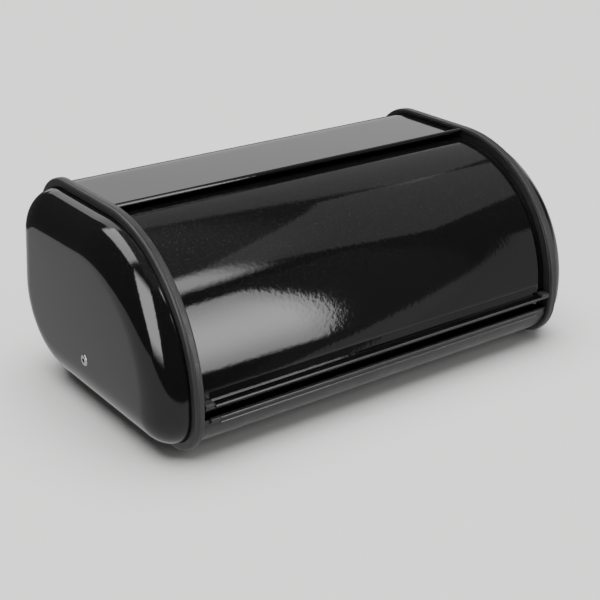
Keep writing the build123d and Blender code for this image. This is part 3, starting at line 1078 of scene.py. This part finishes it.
# ---- shell, pan and sill -------------------------------------------------------------------------
@dataclass
class Carcass:
    """The fixed sheets between the ends: shell, base pan and front sill."""

    view: EndView
    frame_x: float = 176.4 * MM
    sheet: float = 0.7 * MM
    shell_inset: float = 4.6 * MM
    pan_inset: float = 5.4 * MM
    hem: float = 2.2 * MM
    seam_y: float = 36.0 * MM
    lap: float = 12.0 * MM
    sill_inset: float = 3.6 * MM
    sill_wall: float = 1.7 * MM
    sill_top: float = 35.0 * MM
    bead: float = 5.0 * MM
    bead_inset: float = 0.6 * MM
    bead_gap: float = 6.0 * MM
    rib: float = 0.7 * MM
    rib_gap: float = 14.0 * MM
    sill_back: float = -76.0 * MM
    shelf_z: float = 28.4 * MM
    shelf_y: float = -106.0 * MM
    shelf: float = 1.4 * MM
    lip: float = 3.0 * MM
    vent: float = 2.5 * MM
    vents: int = 7
    vent_pitch: float = 24.0 * MM
    vent_z: float = 136.0 * MM
    vent_depth: float = 12.0 * MM
    end_play: float = 0.8 * MM
    pan_play: float = 0.1 * MM
    pan_drop: float = 2.4 * MM
    sill_edge: float = 1.2 * MM
    bead_low: float = 0.6 * MM
    bead_high: float = 0.2 * MM
    bead_rounds: Point3 = (0.8 * MM, 1.6 * MM, 0.5 * MM)
    shelf_gap: float = 0.6 * MM
    shelf_bed: float = 0.8 * MM
    shelf_bend: float = 0.6 * MM
    shelf_edge: float = 0.3 * MM

    def build(self) -> None:
        """Makes the three sheets."""
        self.shell()
        self.pan()
        self.sill()

    def shell(self) -> None:
        """Top, back and rear underside in one sheet, with a rolled front hem and a row of vents."""
        view = self.view
        inner = self.shell_inset + self.sheet
        hem_y, hem_z = view.pivot[0] + self.hem, view.height - inner + self.hem

        def wraps(point: Point2) -> bool:
            """Whether the sheet covers a point: behind the hem, and above or behind the seam."""
            y, z = point
            return y > hem_y + 0.1 * MM and (z > view.pivot[1] or y > self.seam_y)

        curl = arc((hem_y, hem_z), self.hem, 270, -20, 30)
        path = view.part(inner, wraps)[::-1] + [(hem_y, hem_z - self.hem)] + curl[1:]
        section = thickened(path, -self.sheet)
        mesh = recalculated(bar_mesh("shell", section, stations(self.frame_x - self.end_play, 3)))
        sheet = drilled(mesh, [self.vent_cutter(k) for k in range(self.vents)])
        finished("body_shell_sheet", sheet, GLOSS, Body.BOX, ["body_shell"], recalculate=False)

    def vent_cutter(self, number: int) -> bpy.types.Mesh:
        """The cylinder that one vent is cut with.

        Args:
            number: The vent's place in the row, from 0.

        Returns:
            The cylinder, square to the leaning back.
        """
        out = self.view.back_normal.to_track_quat("Z", "X").to_matrix().to_4x4()
        x = self.vent_pitch * (number - (self.vents - 1) / 2)
        middle = (x, self.view.back_y(self.vent_z), self.vent_z)
        work = bmesh.new()
        rod = {"radius1": self.vent, "radius2": self.vent, "depth": self.vent_depth}
        bmesh.ops.create_cone(work, cap_ends=True, segments=28, **rod)
        bmesh.ops.transform(work, matrix=Matrix.Translation(middle) @ out, verts=work.verts)
        return settled(work, bpy.data.meshes.new("vent"))

    def pan(self) -> None:
        """The bottom sheet, lapped inside the shell and turned up behind the sill."""
        top, back = self.shelf_z - self.pan_drop, self.seam_y + self.lap
        path = self.view.part(self.pan_inset, lambda p: p[1] < top and p[0] < back)
        mesh = bar_mesh("pan", thickened(path, -self.sheet), stations(self.frame_x - self.pan_play))
        finished("base_pan_sheet", mesh, GLOSS, Body.BOX, ["base_pan"])

    def sill(self) -> None:
        """The beaded front strip, with two ribs, and the shelf that the lid's bumpers stand on."""
        view, top, back = self.view, self.sill_top, self.sill_back
        half = self.frame_x - self.end_play
        outer = view.part(self.sill_inset, lambda p: p[0] < back and p[1] < top - self.bead)
        inner = view.part(self.sill_inset + self.sill_wall, lambda p: p[0] < back and p[1] < top - MM)
        beside = view.part(self.bead_inset, lambda p: p[0] < 0 and top - self.bead < p[1] < top)
        face = beside[0][0] + self.rib
        y_out, y_in = outer[-1][0], inner[-1][0]
        ledge = (y_out, top - self.bead + 0.4 * MM)
        strip = outer + [ledge, (y_in - self.sill_edge, top - self.sill_edge)] + inner[::-1]
        mesh = bar_mesh("sill", strip, stations(half))
        finished("front_sill_strip", mesh, SATIN, Body.BOX, ["front_sill"])
        low, high = top - self.bead - self.bead_low, top - self.bead_high
        corners = zip((face, face, y_in), (low, high, high), self.bead_rounds)
        bead = rounded(list(corners), steps=6) + [(y_in, low), (y_out - 0.1 * MM, low)]
        mesh = bar_mesh("bead", bead, stations(half - self.bead_gap))
        finished("front_sill_bead", mesh, SATIN, Body.BOX)
        # The ribs' finish has a lighter base colour than the strip: a painted highlight along each rib.
        for name, z in (("top", top - self.rib), ("lower", top - self.bead + self.rib * 0.4)):
            roll = arc((face, z), self.rib, 0, 360, 17)[:-1]
            mesh = bar_mesh(f"rib_{name}", roll, stations(half - self.rib_gap))
            finished(f"front_sill_rib_{name}", mesh, RIB_PAINTED_HIGHLIGHT, Body.BOX)
        rear, z, wall, edge = y_in - self.shelf_bed, self.shelf_z, self.shelf, self.shelf_edge
        shelf = rounded(
            [
                (rear, z, 0),
                (self.shelf_y, z, self.shelf_bend),
                (self.shelf_y, z - self.lip, edge),
                (self.shelf_y - wall, z - self.lip, edge),
                (self.shelf_y - wall, z - wall, edge),
                (rear, z - wall, 0),
            ]
        )
        mesh = bar_mesh("shelf", shelf, stations(half - self.shelf_gap))
        finished("front_sill_shelf", mesh, SATIN, Body.BOX)


# ---- fasteners -----------------------------------------------------------------------------------
class Recess(Enum):
    """What is sunk into a fastener's head."""

    CROSS = "cross"
    NONE = "none"


def new_tree(name: str, inputs: Sequence[tuple[str, str]]) -> tuple[bpy.types.NodeTree, Graph, Any]:
    """An empty Geometry Nodes tree that takes and gives geometry.

    Args:
        name: The tree's name.
        inputs: Each further input's name and kind.

    Returns:
        The tree, its graph and its input node.
    """
    made = bpy.data.node_groups.new(name, "GeometryNodeTree")
    for label, kind in (("Geometry", "Geometry"), *inputs):
        made.interface.new_socket(label, in_out="INPUT", socket_type=f"NodeSocket{kind}")
    made.interface.new_socket("Geometry", in_out="OUTPUT", socket_type="NodeSocketGeometry")
    graph = Graph(made)
    return made, graph, graph.node("NodeGroupInput")


def close_tree(graph: Graph, shape: Any, finish: Any) -> None:
    """Ends a tree: real geometry with its material.

    Args:
        graph: The tree's graph.
        shape: The geometry socket.
        finish: The material socket.
    """
    real = graph.node("GeometryNodeRealizeInstances", inputs={0: shape})
    dressed = graph.node("GeometryNodeSetMaterial", inputs={0: real.outputs[0], "Material": finish})
    graph.node("NodeGroupOutput", inputs={0: dressed.outputs[0]})


def joined_up(graph: Graph, parts: Sequence[Any]) -> Any:
    """Joins geometry sockets into one.

    Args:
        graph: The tree's graph.
        parts: The sockets.

    Returns:
        The joined socket.
    """
    joined = graph.node("GeometryNodeJoinGeometry")
    for part in parts:
        graph.feed(joined.inputs[0], part)
    return joined.outputs[0]


@dataclass
class Fasteners:
    """A group of screws, set by a Geometry Nodes tree on the heads' places."""

    node: str
    axis: Vector
    head: float = 2.9 * MM
    height: float = 1.8 * MM
    shank: float = 1.4 * MM
    length: float = 7.0 * MM
    recess: Recess = Recess.CROSS
    recess_long: float = 1.25
    recess_short: float = 0.3
    recess_deep: float = 1.1

    def places(self) -> list[Point3]:
        """Where the heads are, read from the CAD node.

        Returns:
            The middle of each head's outer face.
        """
        work = working(frame["nodes"][self.node].data)
        bmesh.ops.remove_doubles(work, verts=work.verts, dist=0.005 * MM)
        seen: set[int] = set()
        found = []
        for vert in work.verts:
            if vert.index in seen:
                continue
            island, stack = [], [vert]
            seen.add(vert.index)
            while stack:
                here = stack.pop()
                island.append(here.co.copy())
                for edge in here.link_edges:
                    there = edge.other_vert(here)
                    if there.index not in seen:
                        seen.add(there.index)
                        stack.append(there)
            reach = max(p.dot(self.axis) for p in island)
            middle = sum(island, Vector()) / len(island)
            found.append(tuple(middle + self.axis * (reach - middle.dot(self.axis))))
        work.free()
        return sorted(found)

    def tree(self) -> bpy.types.NodeTree:
        """A domed head, its recess and a shank on every point.

        Returns:
            The tree.
        """
        labels = ("Head radius", "Head height", "Shank radius", "Length")
        inputs = (*((label, "Float") for label in labels), ("Turn", "Vector"), ("Finish", "Material"))
        made, graph, given = new_tree(f"{self.node}_tree", inputs)
        head_r, head_h, shank_r, length = (Value(graph, given.outputs[k]) for k in (1, 2, 3, 4))
        ball = {"Segments": 24, "Rings": 12, "Radius": head_r}
        dome = graph.node("GeometryNodeMeshUVSphere", inputs=ball)
        low = graph.value("ShaderNodeCombineXYZ", inputs={2: head_h * -1.0})
        flat = graph.value("ShaderNodeCombineXYZ", inputs={0: 1.0, 1: 1.0, 2: head_h / head_r})
        flattened = {"Geometry": dome.outputs[0], "Translation": low, "Scale": flat}
        solid = graph.node("GeometryNodeTransform", inputs=flattened).outputs[0]
        rod = {"Vertices": 16, "Radius": shank_r, "Depth": length}
        shank = graph.node("GeometryNodeMeshCylinder", inputs=rod)
        sunk = graph.value("ShaderNodeCombineXYZ", inputs={2: (length * -0.5) - head_h * 1.2})
        lowered = {"Geometry": shank.outputs[0], "Translation": sunk}
        stem = graph.node("GeometryNodeTransform", inputs=lowered)
        if self.recess is Recess.CROSS:
            sides = (self.recess_long, self.recess_short)
            for long, short in (sides, sides[::-1]):
                bar_size = {0: head_r * long, 1: head_r * short, 2: head_h * self.recess_deep}
                size = graph.value("ShaderNodeCombineXYZ", inputs=bar_size)
                bar = graph.node("GeometryNodeMeshCube", inputs={"Size": size})
                less = {"operation": "DIFFERENCE"}
                cut = graph.node("GeometryNodeMeshBoolean", less, {0: solid, 1: bar.outputs[0]})
                solid = cut.outputs[0]
        one = joined_up(graph, (stem.outputs[0], solid))
        placed = graph.node(
            "GeometryNodeInstanceOnPoints",
            inputs={"Points": given.outputs[0], "Instance": one, "Rotation": given.outputs[5]},
        )
        close_tree(graph, placed.outputs[0], given.outputs[6])
        return made

    def build(self) -> None:
        """Bakes the group to a plain mesh."""
        points = bpy.data.meshes.new(self.node)
        points.from_pydata(self.places(), [], [])
        turn = self.axis.to_track_quat("Z", "X").to_euler()
        inputs = {
            "Head radius": self.head,
            "Head height": self.height,
            "Shank radius": self.shank,
            "Length": self.length,
            "Turn": Vector(turn),
            "Finish": DARK_STEEL.build(),
        }
        mesh = grown(points, self.tree(), inputs)
        finished(f"{self.node}_set", mesh, DARK_STEEL, Body.BOX, [self.node], recalculate=False)


@dataclass
class PopRivets(Fasteners):
    """A group of pop rivets: low plain domes."""

    head: float = 3.0 * MM
    height: float = 1.0 * MM
    shank: float = 1.6 * MM
    length: float = 3.0 * MM
    recess: Recess = Recess.NONE


def grown(points: bpy.types.Mesh, tree: bpy.types.NodeTree, inputs: dict[str, Any]) -> bpy.types.Mesh:
    """Runs a Geometry Nodes tree on a mesh and returns the plain result.

    Args:
        points: The mesh that the tree starts from.
        tree: The tree.
        inputs: The tree's inputs, by name.

    Returns:
        The baked mesh.
    """
    carrier = linked("carrier", points)
    run = carrier.modifiers.new("grow", "NODES")
    run.node_group = tree
    for item in tree.interface.items_tree:
        if item.in_out == "INPUT" and item.name in inputs:
            run[item.identifier] = inputs[item.name]
    mesh = evaluated(carrier)
    carrier.modifiers.clear()
    bpy.data.objects.remove(carrier)
    return mesh


# ---- pivots --------------------------------------------------------------------------------------
@dataclass
class Pivot:
    """One end's tubular rivet with its washers."""

    view: EndView
    side: Side
    face_x: float = 210.0 * MM
    head: float = 4.7 * MM
    head_height: float = 1.3 * MM
    shank: float = 2.6 * MM
    bore: float = 1.8 * MM
    tail_x: float = 203.7 * MM
    clinch: float = 4.0 * MM
    rim: float = 0.15 * MM
    crest_from: float = 0.2 * MM
    crest_share: float = 0.55
    crest_steps: int = 9
    mouth: tuple[Point2, ...] = ((0.55 * MM, 0.04 * MM), (0.2 * MM, 0.25 * MM), (0.0, 0.7 * MM))

    def build(self) -> None:
        """Makes the rivet, and dresses its washers and bush."""
        x, top = self.face_x, self.face_x + self.head_height
        dome = arc((self.head - self.rim, x + self.rim), self.rim, -90, 0, 2)
        crest = []
        for k in range(1, self.crest_steps + 1):
            t = math.pi / 2 * k / self.crest_steps
            radius = self.head * (math.cos(t) * self.crest_share + 1 - self.crest_share)
            rise = (self.head_height - self.crest_from) * math.sin(t)
            crest.append((radius, x + self.crest_from + rise))
        mouth = [(self.bore + out, top - down) for out, down in self.mouth]
        tail = [
            (self.bore, self.tail_x - 0.5 * MM),
            (self.clinch, self.tail_x - 0.6 * MM),
            (self.clinch, self.tail_x),
            (self.shank, self.tail_x + 0.2 * MM),
            (self.shank, x),
        ]
        mesh = turned("rivet", dome + crest + mouth + tail, self.view.pivot, self.side.value)
        node = f"{self.side.word}_pivot_rivet"
        like = {"level": RIVET_STEEL.level, "rough": RIVET_STEEL.rough}
        # The rivet's finish paints the inside of its bore dark as painted shade.
        steel = BoredPlate("bright_rivet_head", "bright_zinc", centre=self.view.pivot, **like)
        finished(f"{node}_tube", mesh, steel, Body.BOX, [node], crease=35)
        dressed = {"pivot_washer": NYLON, "clinch_washer": RIVET_STEEL, "pivot_bush": NYLON}
        for piece, finish in dressed.items():
            dress(f"{self.side.word}_{piece}", finish)


def dress(node: str, finish: Finish) -> None:
    """Gives a CAD node a finish and leaves its mesh as it is.

    Args:
        node: The node's name.
        finish: What it is finished with.
    """
    piece = frame["nodes"][node]
    piece.data.materials.clear()
    piece.data.materials.append(finish.build())
    LOG.info("%s: CAD mesh in %s", node, finish.name)


# ---- lid -----------------------------------------------------------------------------------------
@dataclass
class Lid:
    """The swinging lid: curved sheet, pull rail with end clips, and its two arms."""

    view: EndView
    radius: float = 112.5 * MM
    sheet: float = 0.7 * MM
    half: float = 175.0 * MM
    low: float = -8.2
    high: float = 94.0
    turn_in: float = 6.0 * MM
    rows: int = 150
    pull_reach: float = 121.3 * MM
    pull_top: float = 46.6 * MM
    pull_wall: float = 1.3 * MM
    pull_leg: float = 7.0 * MM
    worn: float = 0.85 * MM
    seat_gap: float = 0.05 * MM
    leg_share: float = 0.15
    sweep: float = 0.35 * MM
    bead: float = 1.1 * MM
    clip: float = 8.0 * MM
    clip_rounds: tuple[float, ...] = (1.5 * MM, 1.2 * MM, 0.3 * MM, 0.3 * MM)
    clip_edge: float = 0.35 * MM

    def tree(self) -> bpy.types.NodeTree:
        """Bends a flat grid round the pivot, folds its rear edge in and gives it thickness.

        Returns:
            The tree.
        """
        labels = ("Radius", "Sheet", "Half length", "Low angle", "High angle")
        labels += ("Turn in", "Pivot Y", "Pivot Z")
        inputs = (*((label, "Float") for label in labels), ("Rows", "Int"), ("Finish", "Material"))
        made, graph, given = new_tree("lid_panel_tree", inputs)
        sizes = [Value(graph, given.outputs[k]) for k in range(1, 10)]
        radius, sheet, half, low, high, turn_in, pivot_y, pivot_z, rows = sizes
        flat = {"Size X": 2.0, "Size Y": 1.0, "Vertices X": 9, "Vertices Y": rows}
        grid = graph.node("GeometryNodeMeshGrid", inputs=flat)
        across, up, _ = graph.axes(graph.value("GeometryNodeInputPosition"))
        row = (up + 0.5) * (rows - 1)
        fold = row > (rows - 1.5)
        angle = low + (high - low) * (row / (rows - 2)).least(1.0)
        reach = radius - turn_in * fold
        y, z = pivot_y - reach * angle.cosine(), pivot_z + reach * angle.sine()
        spot = graph.value("ShaderNodeCombineXYZ", inputs={0: across * half, 1: y, 2: z})
        moved = {"Geometry": grid.outputs[0], "Position": spot}
        bent = graph.node("GeometryNodeSetPosition", inputs=moved)
        outward = graph.value("GeometryNodeInputNormal")
        offset = {"Offset": outward, "Offset Scale": sheet * -1.0, "Individual": False}
        raised = graph.node("GeometryNodeExtrudeMesh", inputs={"Mesh": bent.outputs[0], **offset})
        under = graph.node("GeometryNodeFlipFaces", inputs={0: bent.outputs[0]})
        both = joined_up(graph, (raised.outputs[0], under.outputs[0]))
        sealed = graph.node("GeometryNodeMergeByDistance", inputs={0: both, "Distance": NEEDLE})
        close_tree(graph, sealed.outputs[0], given.outputs[10])
        return made

    def build(self) -> None:
        """Makes the panel, the rail and the clips, and dresses the arms."""
        inputs = {
            "Radius": self.radius,
            "Sheet": self.sheet,
            "Half length": self.half,
            "Low angle": math.radians(self.low),
            "High angle": math.radians(self.high),
            "Turn in": self.turn_in,
            "Pivot Y": self.view.pivot[0],
            "Pivot Z": self.view.pivot[1],
            "Rows": self.rows,
            "Finish": GLOSS.build(),
        }
        mesh = grown(bpy.data.meshes.new("start"), self.tree(), inputs)
        finished("lid_panel_sheet", mesh, GLOSS, Body.LID, ["lid_panel"])
        self.rail()
        for side in Side:
            self.end_clip(side)
            dress(f"{side.word}_lid_arm", ARM_STEEL)

    def rail(self) -> None:
        """The pull along the lower edge: a leg that sweeps out into a ledge with a rolled edge."""
        front = self.view.pivot[0]
        seat, wall, top = self.radius + self.seat_gap, self.pull_wall, self.pull_top
        edge_y, bead, sweep = front - self.pull_reach, self.bead, self.sweep
        leg = math.degrees(self.pull_leg / seat)
        inner = [self.view.on_arc(seat, angle) for angle in (leg, leg * 0.66, leg * 0.33)]
        outer = [self.view.on_arc(seat + wall * self.leg_share, leg)]
        outer += arc((front - seat - wall - sweep, top + sweep), sweep, 0, -90, 9)
        outer += arc((edge_y + bead, top - bead), bead, 90, 300, 14)
        outer.append((edge_y + 2 * bead, top - wall))
        section = inner + [(front - seat, top - wall)] + outer[::-1]
        along = stations(self.half - self.clip)
        strip = bar_mesh("rail", section, along)
        finished("lid_pull_rail_strip", strip, GLOSS, Body.LID, ["lid_pull_rail"], crease=40)
        # A thin rod over the rail's rolled edge, in a lighter finish: a painted highlight line.
        roll = arc((edge_y + self.worn, top - self.worn + 0.1 * MM), self.worn, 0, 360, 17)[:-1]
        finished("lid_pull_rail_edge", bar_mesh("edge", roll, along), EDGE_PAINTED_HIGHLIGHT, Body.LID)

    def end_clip(self, side: Side) -> None:
        """A moulded clip that closes one end of the rail.

        Args:
            side: Which end.
        """
        node = f"{side.word}_pull_end_clip"
        low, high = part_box(node)
        corners = zip((low.y, low.y, high.y, high.y), (low.z, high.z, high.z, low.z), self.clip_rounds)
        mesh = recalculated(bar_mesh(node, rounded(list(corners)), [low.x, high.x]))
        work = working(mesh)
        ends = [e for e in work.edges if abs(e.verts[0].co.x - e.verts[1].co.x) < 0.01 * MM]
        eased(work, ends, self.clip_edge, 2)
        finished(f"{node}_moulding", settled(work, mesh), SATIN, Body.LID, [node])


# ---- studio --------------------------------------------------------------------------------------
def sheet_mesh(name: str, width: float, depth: float, finish: bpy.types.Material) -> bpy.types.Mesh:
    """A flat rectangle about the origin, facing up, with a UV square.

    Args:
        name: The mesh's name.
        width: Its side along X.
        depth: Its side along Y.
        finish: Its material.

    Returns:
        The mesh.
    """
    square = ((0, 0), (1, 0), (1, 1), (0, 1))
    mesh = bpy.data.meshes.new(name)
    mesh.from_pydata([((u - 0.5) * width, (v - 0.5) * depth, 0) for u, v in square], [], [(0, 1, 2, 3)])
    for loop, uv in zip(mesh.uv_layers.new(name="panel").data, square):
        loop.uv = uv
    mesh.materials.append(finish)
    return mesh


@dataclass(frozen=True)
class SoftSun:
    """An even, very wide light over the whole floor, which isn't mirrored in the enamel."""

    name: str
    place: Point3
    strength: float
    spread: float

    def build(self) -> None:
        """Adds the light, aimed at the middle of the floor."""
        data = bpy.data.lights.new(self.name, "SUN")
        data.energy, data.angle = self.strength, math.radians(self.spread)
        lamp = linked(self.name, data)
        lamp.location = self.place
        lamp.rotation_euler = (-Vector(self.place)).to_track_quat("-Z", "Y").to_euler()
        lamp.visible_glossy = False


@dataclass(frozen=True)
class SoftBox:
    """A glowing panel with soft edges, seen only as a reflection in the enamel.

    It faces the box from a given bearing and height angle, and may be rolled. Its brightness falls off
    towards its edges, and may lean towards one side. Where it doesn't glow, it is clear.
    """

    name: str
    bearing: float
    elevation: float
    width: float
    height: float
    level: float
    roll: float = 0.0
    soft_across: float = 0.2
    soft_up: float = 0.2
    lean_across: float = 0.0
    distance: float = 1.3
    offset: Point3 = (0.0, 0.0, 0.0)

    def place(self) -> Vector:
        """The panel's middle; bearing 0 is straight in front of the box, 90 off its right-hand end.

        Returns:
            The place, before the offset.
        """
        bearing, up = math.radians(self.bearing), math.radians(self.elevation)
        flat = math.cos(up)
        toward = Vector((flat * math.sin(bearing), -flat * math.cos(bearing), math.sin(up)))
        return toward * self.distance

    def glow(self) -> bpy.types.Material:
        """The panel's emission over its UV square.

        Returns:
            The material, clear where it doesn't glow.
        """
        made, graph = new_material(self.name)
        u, v, _ = graph.axes(graph.value("ShaderNodeTexCoord", output="UV"))
        across, up = u * 2 - 1, v * 2 - 1
        sides = 1 - across.size().ramped(1 - self.soft_across, 1.0)
        ends = 1 - up.size().ramped(1 - self.soft_up, 1.0)
        strength = sides * ends * (across * self.lean_across + 1) * self.level
        light = graph.node("ShaderNodeEmission", inputs={"Color": grey(1.0), "Strength": strength})
        clear = graph.node("ShaderNodeBsdfTransparent")
        both = graph.node("ShaderNodeAddShader", inputs={0: light.outputs[0], 1: clear.outputs[0]})
        graph.node("ShaderNodeOutputMaterial", inputs={"Surface": both.outputs[0]})
        return made

    def build(self) -> None:
        """Adds the panel, which only reflections show."""
        panel = linked(self.name, sheet_mesh(self.name, self.width, self.height, self.glow()))
        panel.location = self.place() + Vector(self.offset)
        facing = (-self.place()).to_track_quat("Z", "Y").to_matrix()
        panel.rotation_euler = (facing @ Matrix.Rotation(math.radians(self.roll), 3, "Z")).to_euler()
        for ray in ("visible_camera", "visible_diffuse", "visible_shadow", "visible_transmission"):
            setattr(panel, ray, False)


@dataclass
class Studio:
    """Floor, lamps, sky and camera."""

    floor: float = 40.0
    sky: float = 0.085
    sky_level: float = 0.95
    eye: Point3 = (-0.6023, -0.8205, 0.4878)
    azimuth: float = -35.78
    elevation: float = 22.6
    lens: float = 77.16
    sensor: float = 36.0
    shift: Point2 = (0.0144, -0.0378)
    suns: tuple[SoftSun, ...] = (
        SoftSun("overhead_sun", (0.1, 0.3, 2.2), 5.6, 70.0),
        SoftSun("front_sun", (0.6, -1.8, 1.2), 0.6, 50.0),
    )
    panels: tuple[SoftBox, ...] = (
        SoftBox("key_panel", 21.2, 19.5, 0.43, 1.24, 3.3, soft_across=0.1, soft_up=0.16),
        SoftBox("key_core_panel", 21.2, 20, 0.43, 1.24, 3.6, soft_across=0.4, soft_up=0.95),
        SoftBox("fill_panel", 34, 12, 0.36, 1.9, 0.06, roll=8, soft_across=0.3, soft_up=0.1),
        SoftBox("streak_panel", 27, 58, 0.56, 0.34, 4.2, soft_across=0.5, soft_up=0.75),
        SoftBox("end_panel", -62, 33, 0.66, 1.6, 5.5, soft_across=0.25, soft_up=0.5),
        SoftBox("side_panel", 77, 52, 0.84, 0.56, 0.37, roll=8, soft_across=0.03, soft_up=0.06),
        SoftBox("right_panel", 55, -10, 1.04, 1.5, 0.36, roll=24, soft_across=0.04, soft_up=0.1),
        SoftBox("far_end_panel", 108, 14, 0.4, 0.6, 0.8, soft_across=0.3, soft_up=0.4),
        SoftBox("ceiling_panel", 100, 84, 1.6, 1.2, 0.18, soft_across=0.3, soft_up=0.4),
        SoftBox("crown_panel", -135, 66, 1.0, 0.6, 4.0, roll=-30, soft_across=0.3, soft_up=0.3),
        SoftBox("rear_panel", 136, 42, 1.02, 0.68, 0.29, soft_across=0.05, lean_across=0.2),
        SoftBox("horizon_panel", 154, 20, 1.3, 0.66, 1.05, soft_up=0.5),
        SoftBox("rear_high_panel", 176, 44, 0.5, 0.8, 1.2, soft_across=0.1, soft_up=0.15),
        SoftBox("table_panel", 0, -90, 3.0, 0.76, 0.5, soft_up=0.1, distance=MM, offset=(0, 0.12, 0)),
    )

    def build(self) -> None:
        """Sets up the room, the lamps and the camera."""
        side = 2 * self.floor
        mesh = sheet_mesh("studio_floor", side, side, Backdrop("studio_floor", "floor").build())
        ground = linked("studio_floor", mesh)
        ground.visible_glossy = False
        world = bpy.data.worlds.new("studio_sky")
        world.use_nodes = True
        shine = world.node_tree.nodes["Background"].inputs
        shine[0].default_value, shine[1].default_value = grey(self.sky_level), self.sky
        bpy.context.scene.world = world
        for light in (*self.suns, *self.panels):
            light.build()
        self.camera()

    def camera(self) -> None:
        """Places the camera and makes it the scene's."""
        data = bpy.data.cameras.new("studio_camera")
        data.lens, data.sensor_width = self.lens, self.sensor
        data.shift_x, data.shift_y = self.shift
        camera = linked("studio_camera", data)
        a, e = math.radians(self.azimuth), math.radians(self.elevation)
        back = Vector((math.sin(a) * math.cos(e), -math.cos(a) * math.cos(e), math.sin(e)))
        camera.location = self.eye
        camera.rotation_euler = (-back).to_track_quat("-Z", "Y").to_euler()
        bpy.context.scene.camera = camera


# ---- the whole -----------------------------------------------------------------------------------
def main() -> None:
    """Builds every sub-assembly, then the studio."""
    logging.basicConfig(level=logging.INFO, format="%(name)s: %(message)s")
    joint = frame["joints"][0]
    pivot = (joint["pos_m"][1], joint["pos_m"][2])
    view = EndView(pivot=pivot, height=CAD_BOX[1].z)
    for side in Side:
        EndFrame(view, side).build()
        EndCap(view, side).build()
        Pivot(view, side).build()
        dress(f"{side.word}_lid_bumper", RUBBER)
    Carcass(view).build()
    down = Vector((0, 0, -1))
    Fasteners("back_screws", view.back_normal).build()
    Fasteners("base_screws", down).build()
    PopRivets("seam_rivets", down).build()
    PopRivets("sill_rivets", down, length=4 * MM).build()
    Lid(view).build()
    Studio().build()


if __name__ == "__main__":
    main()
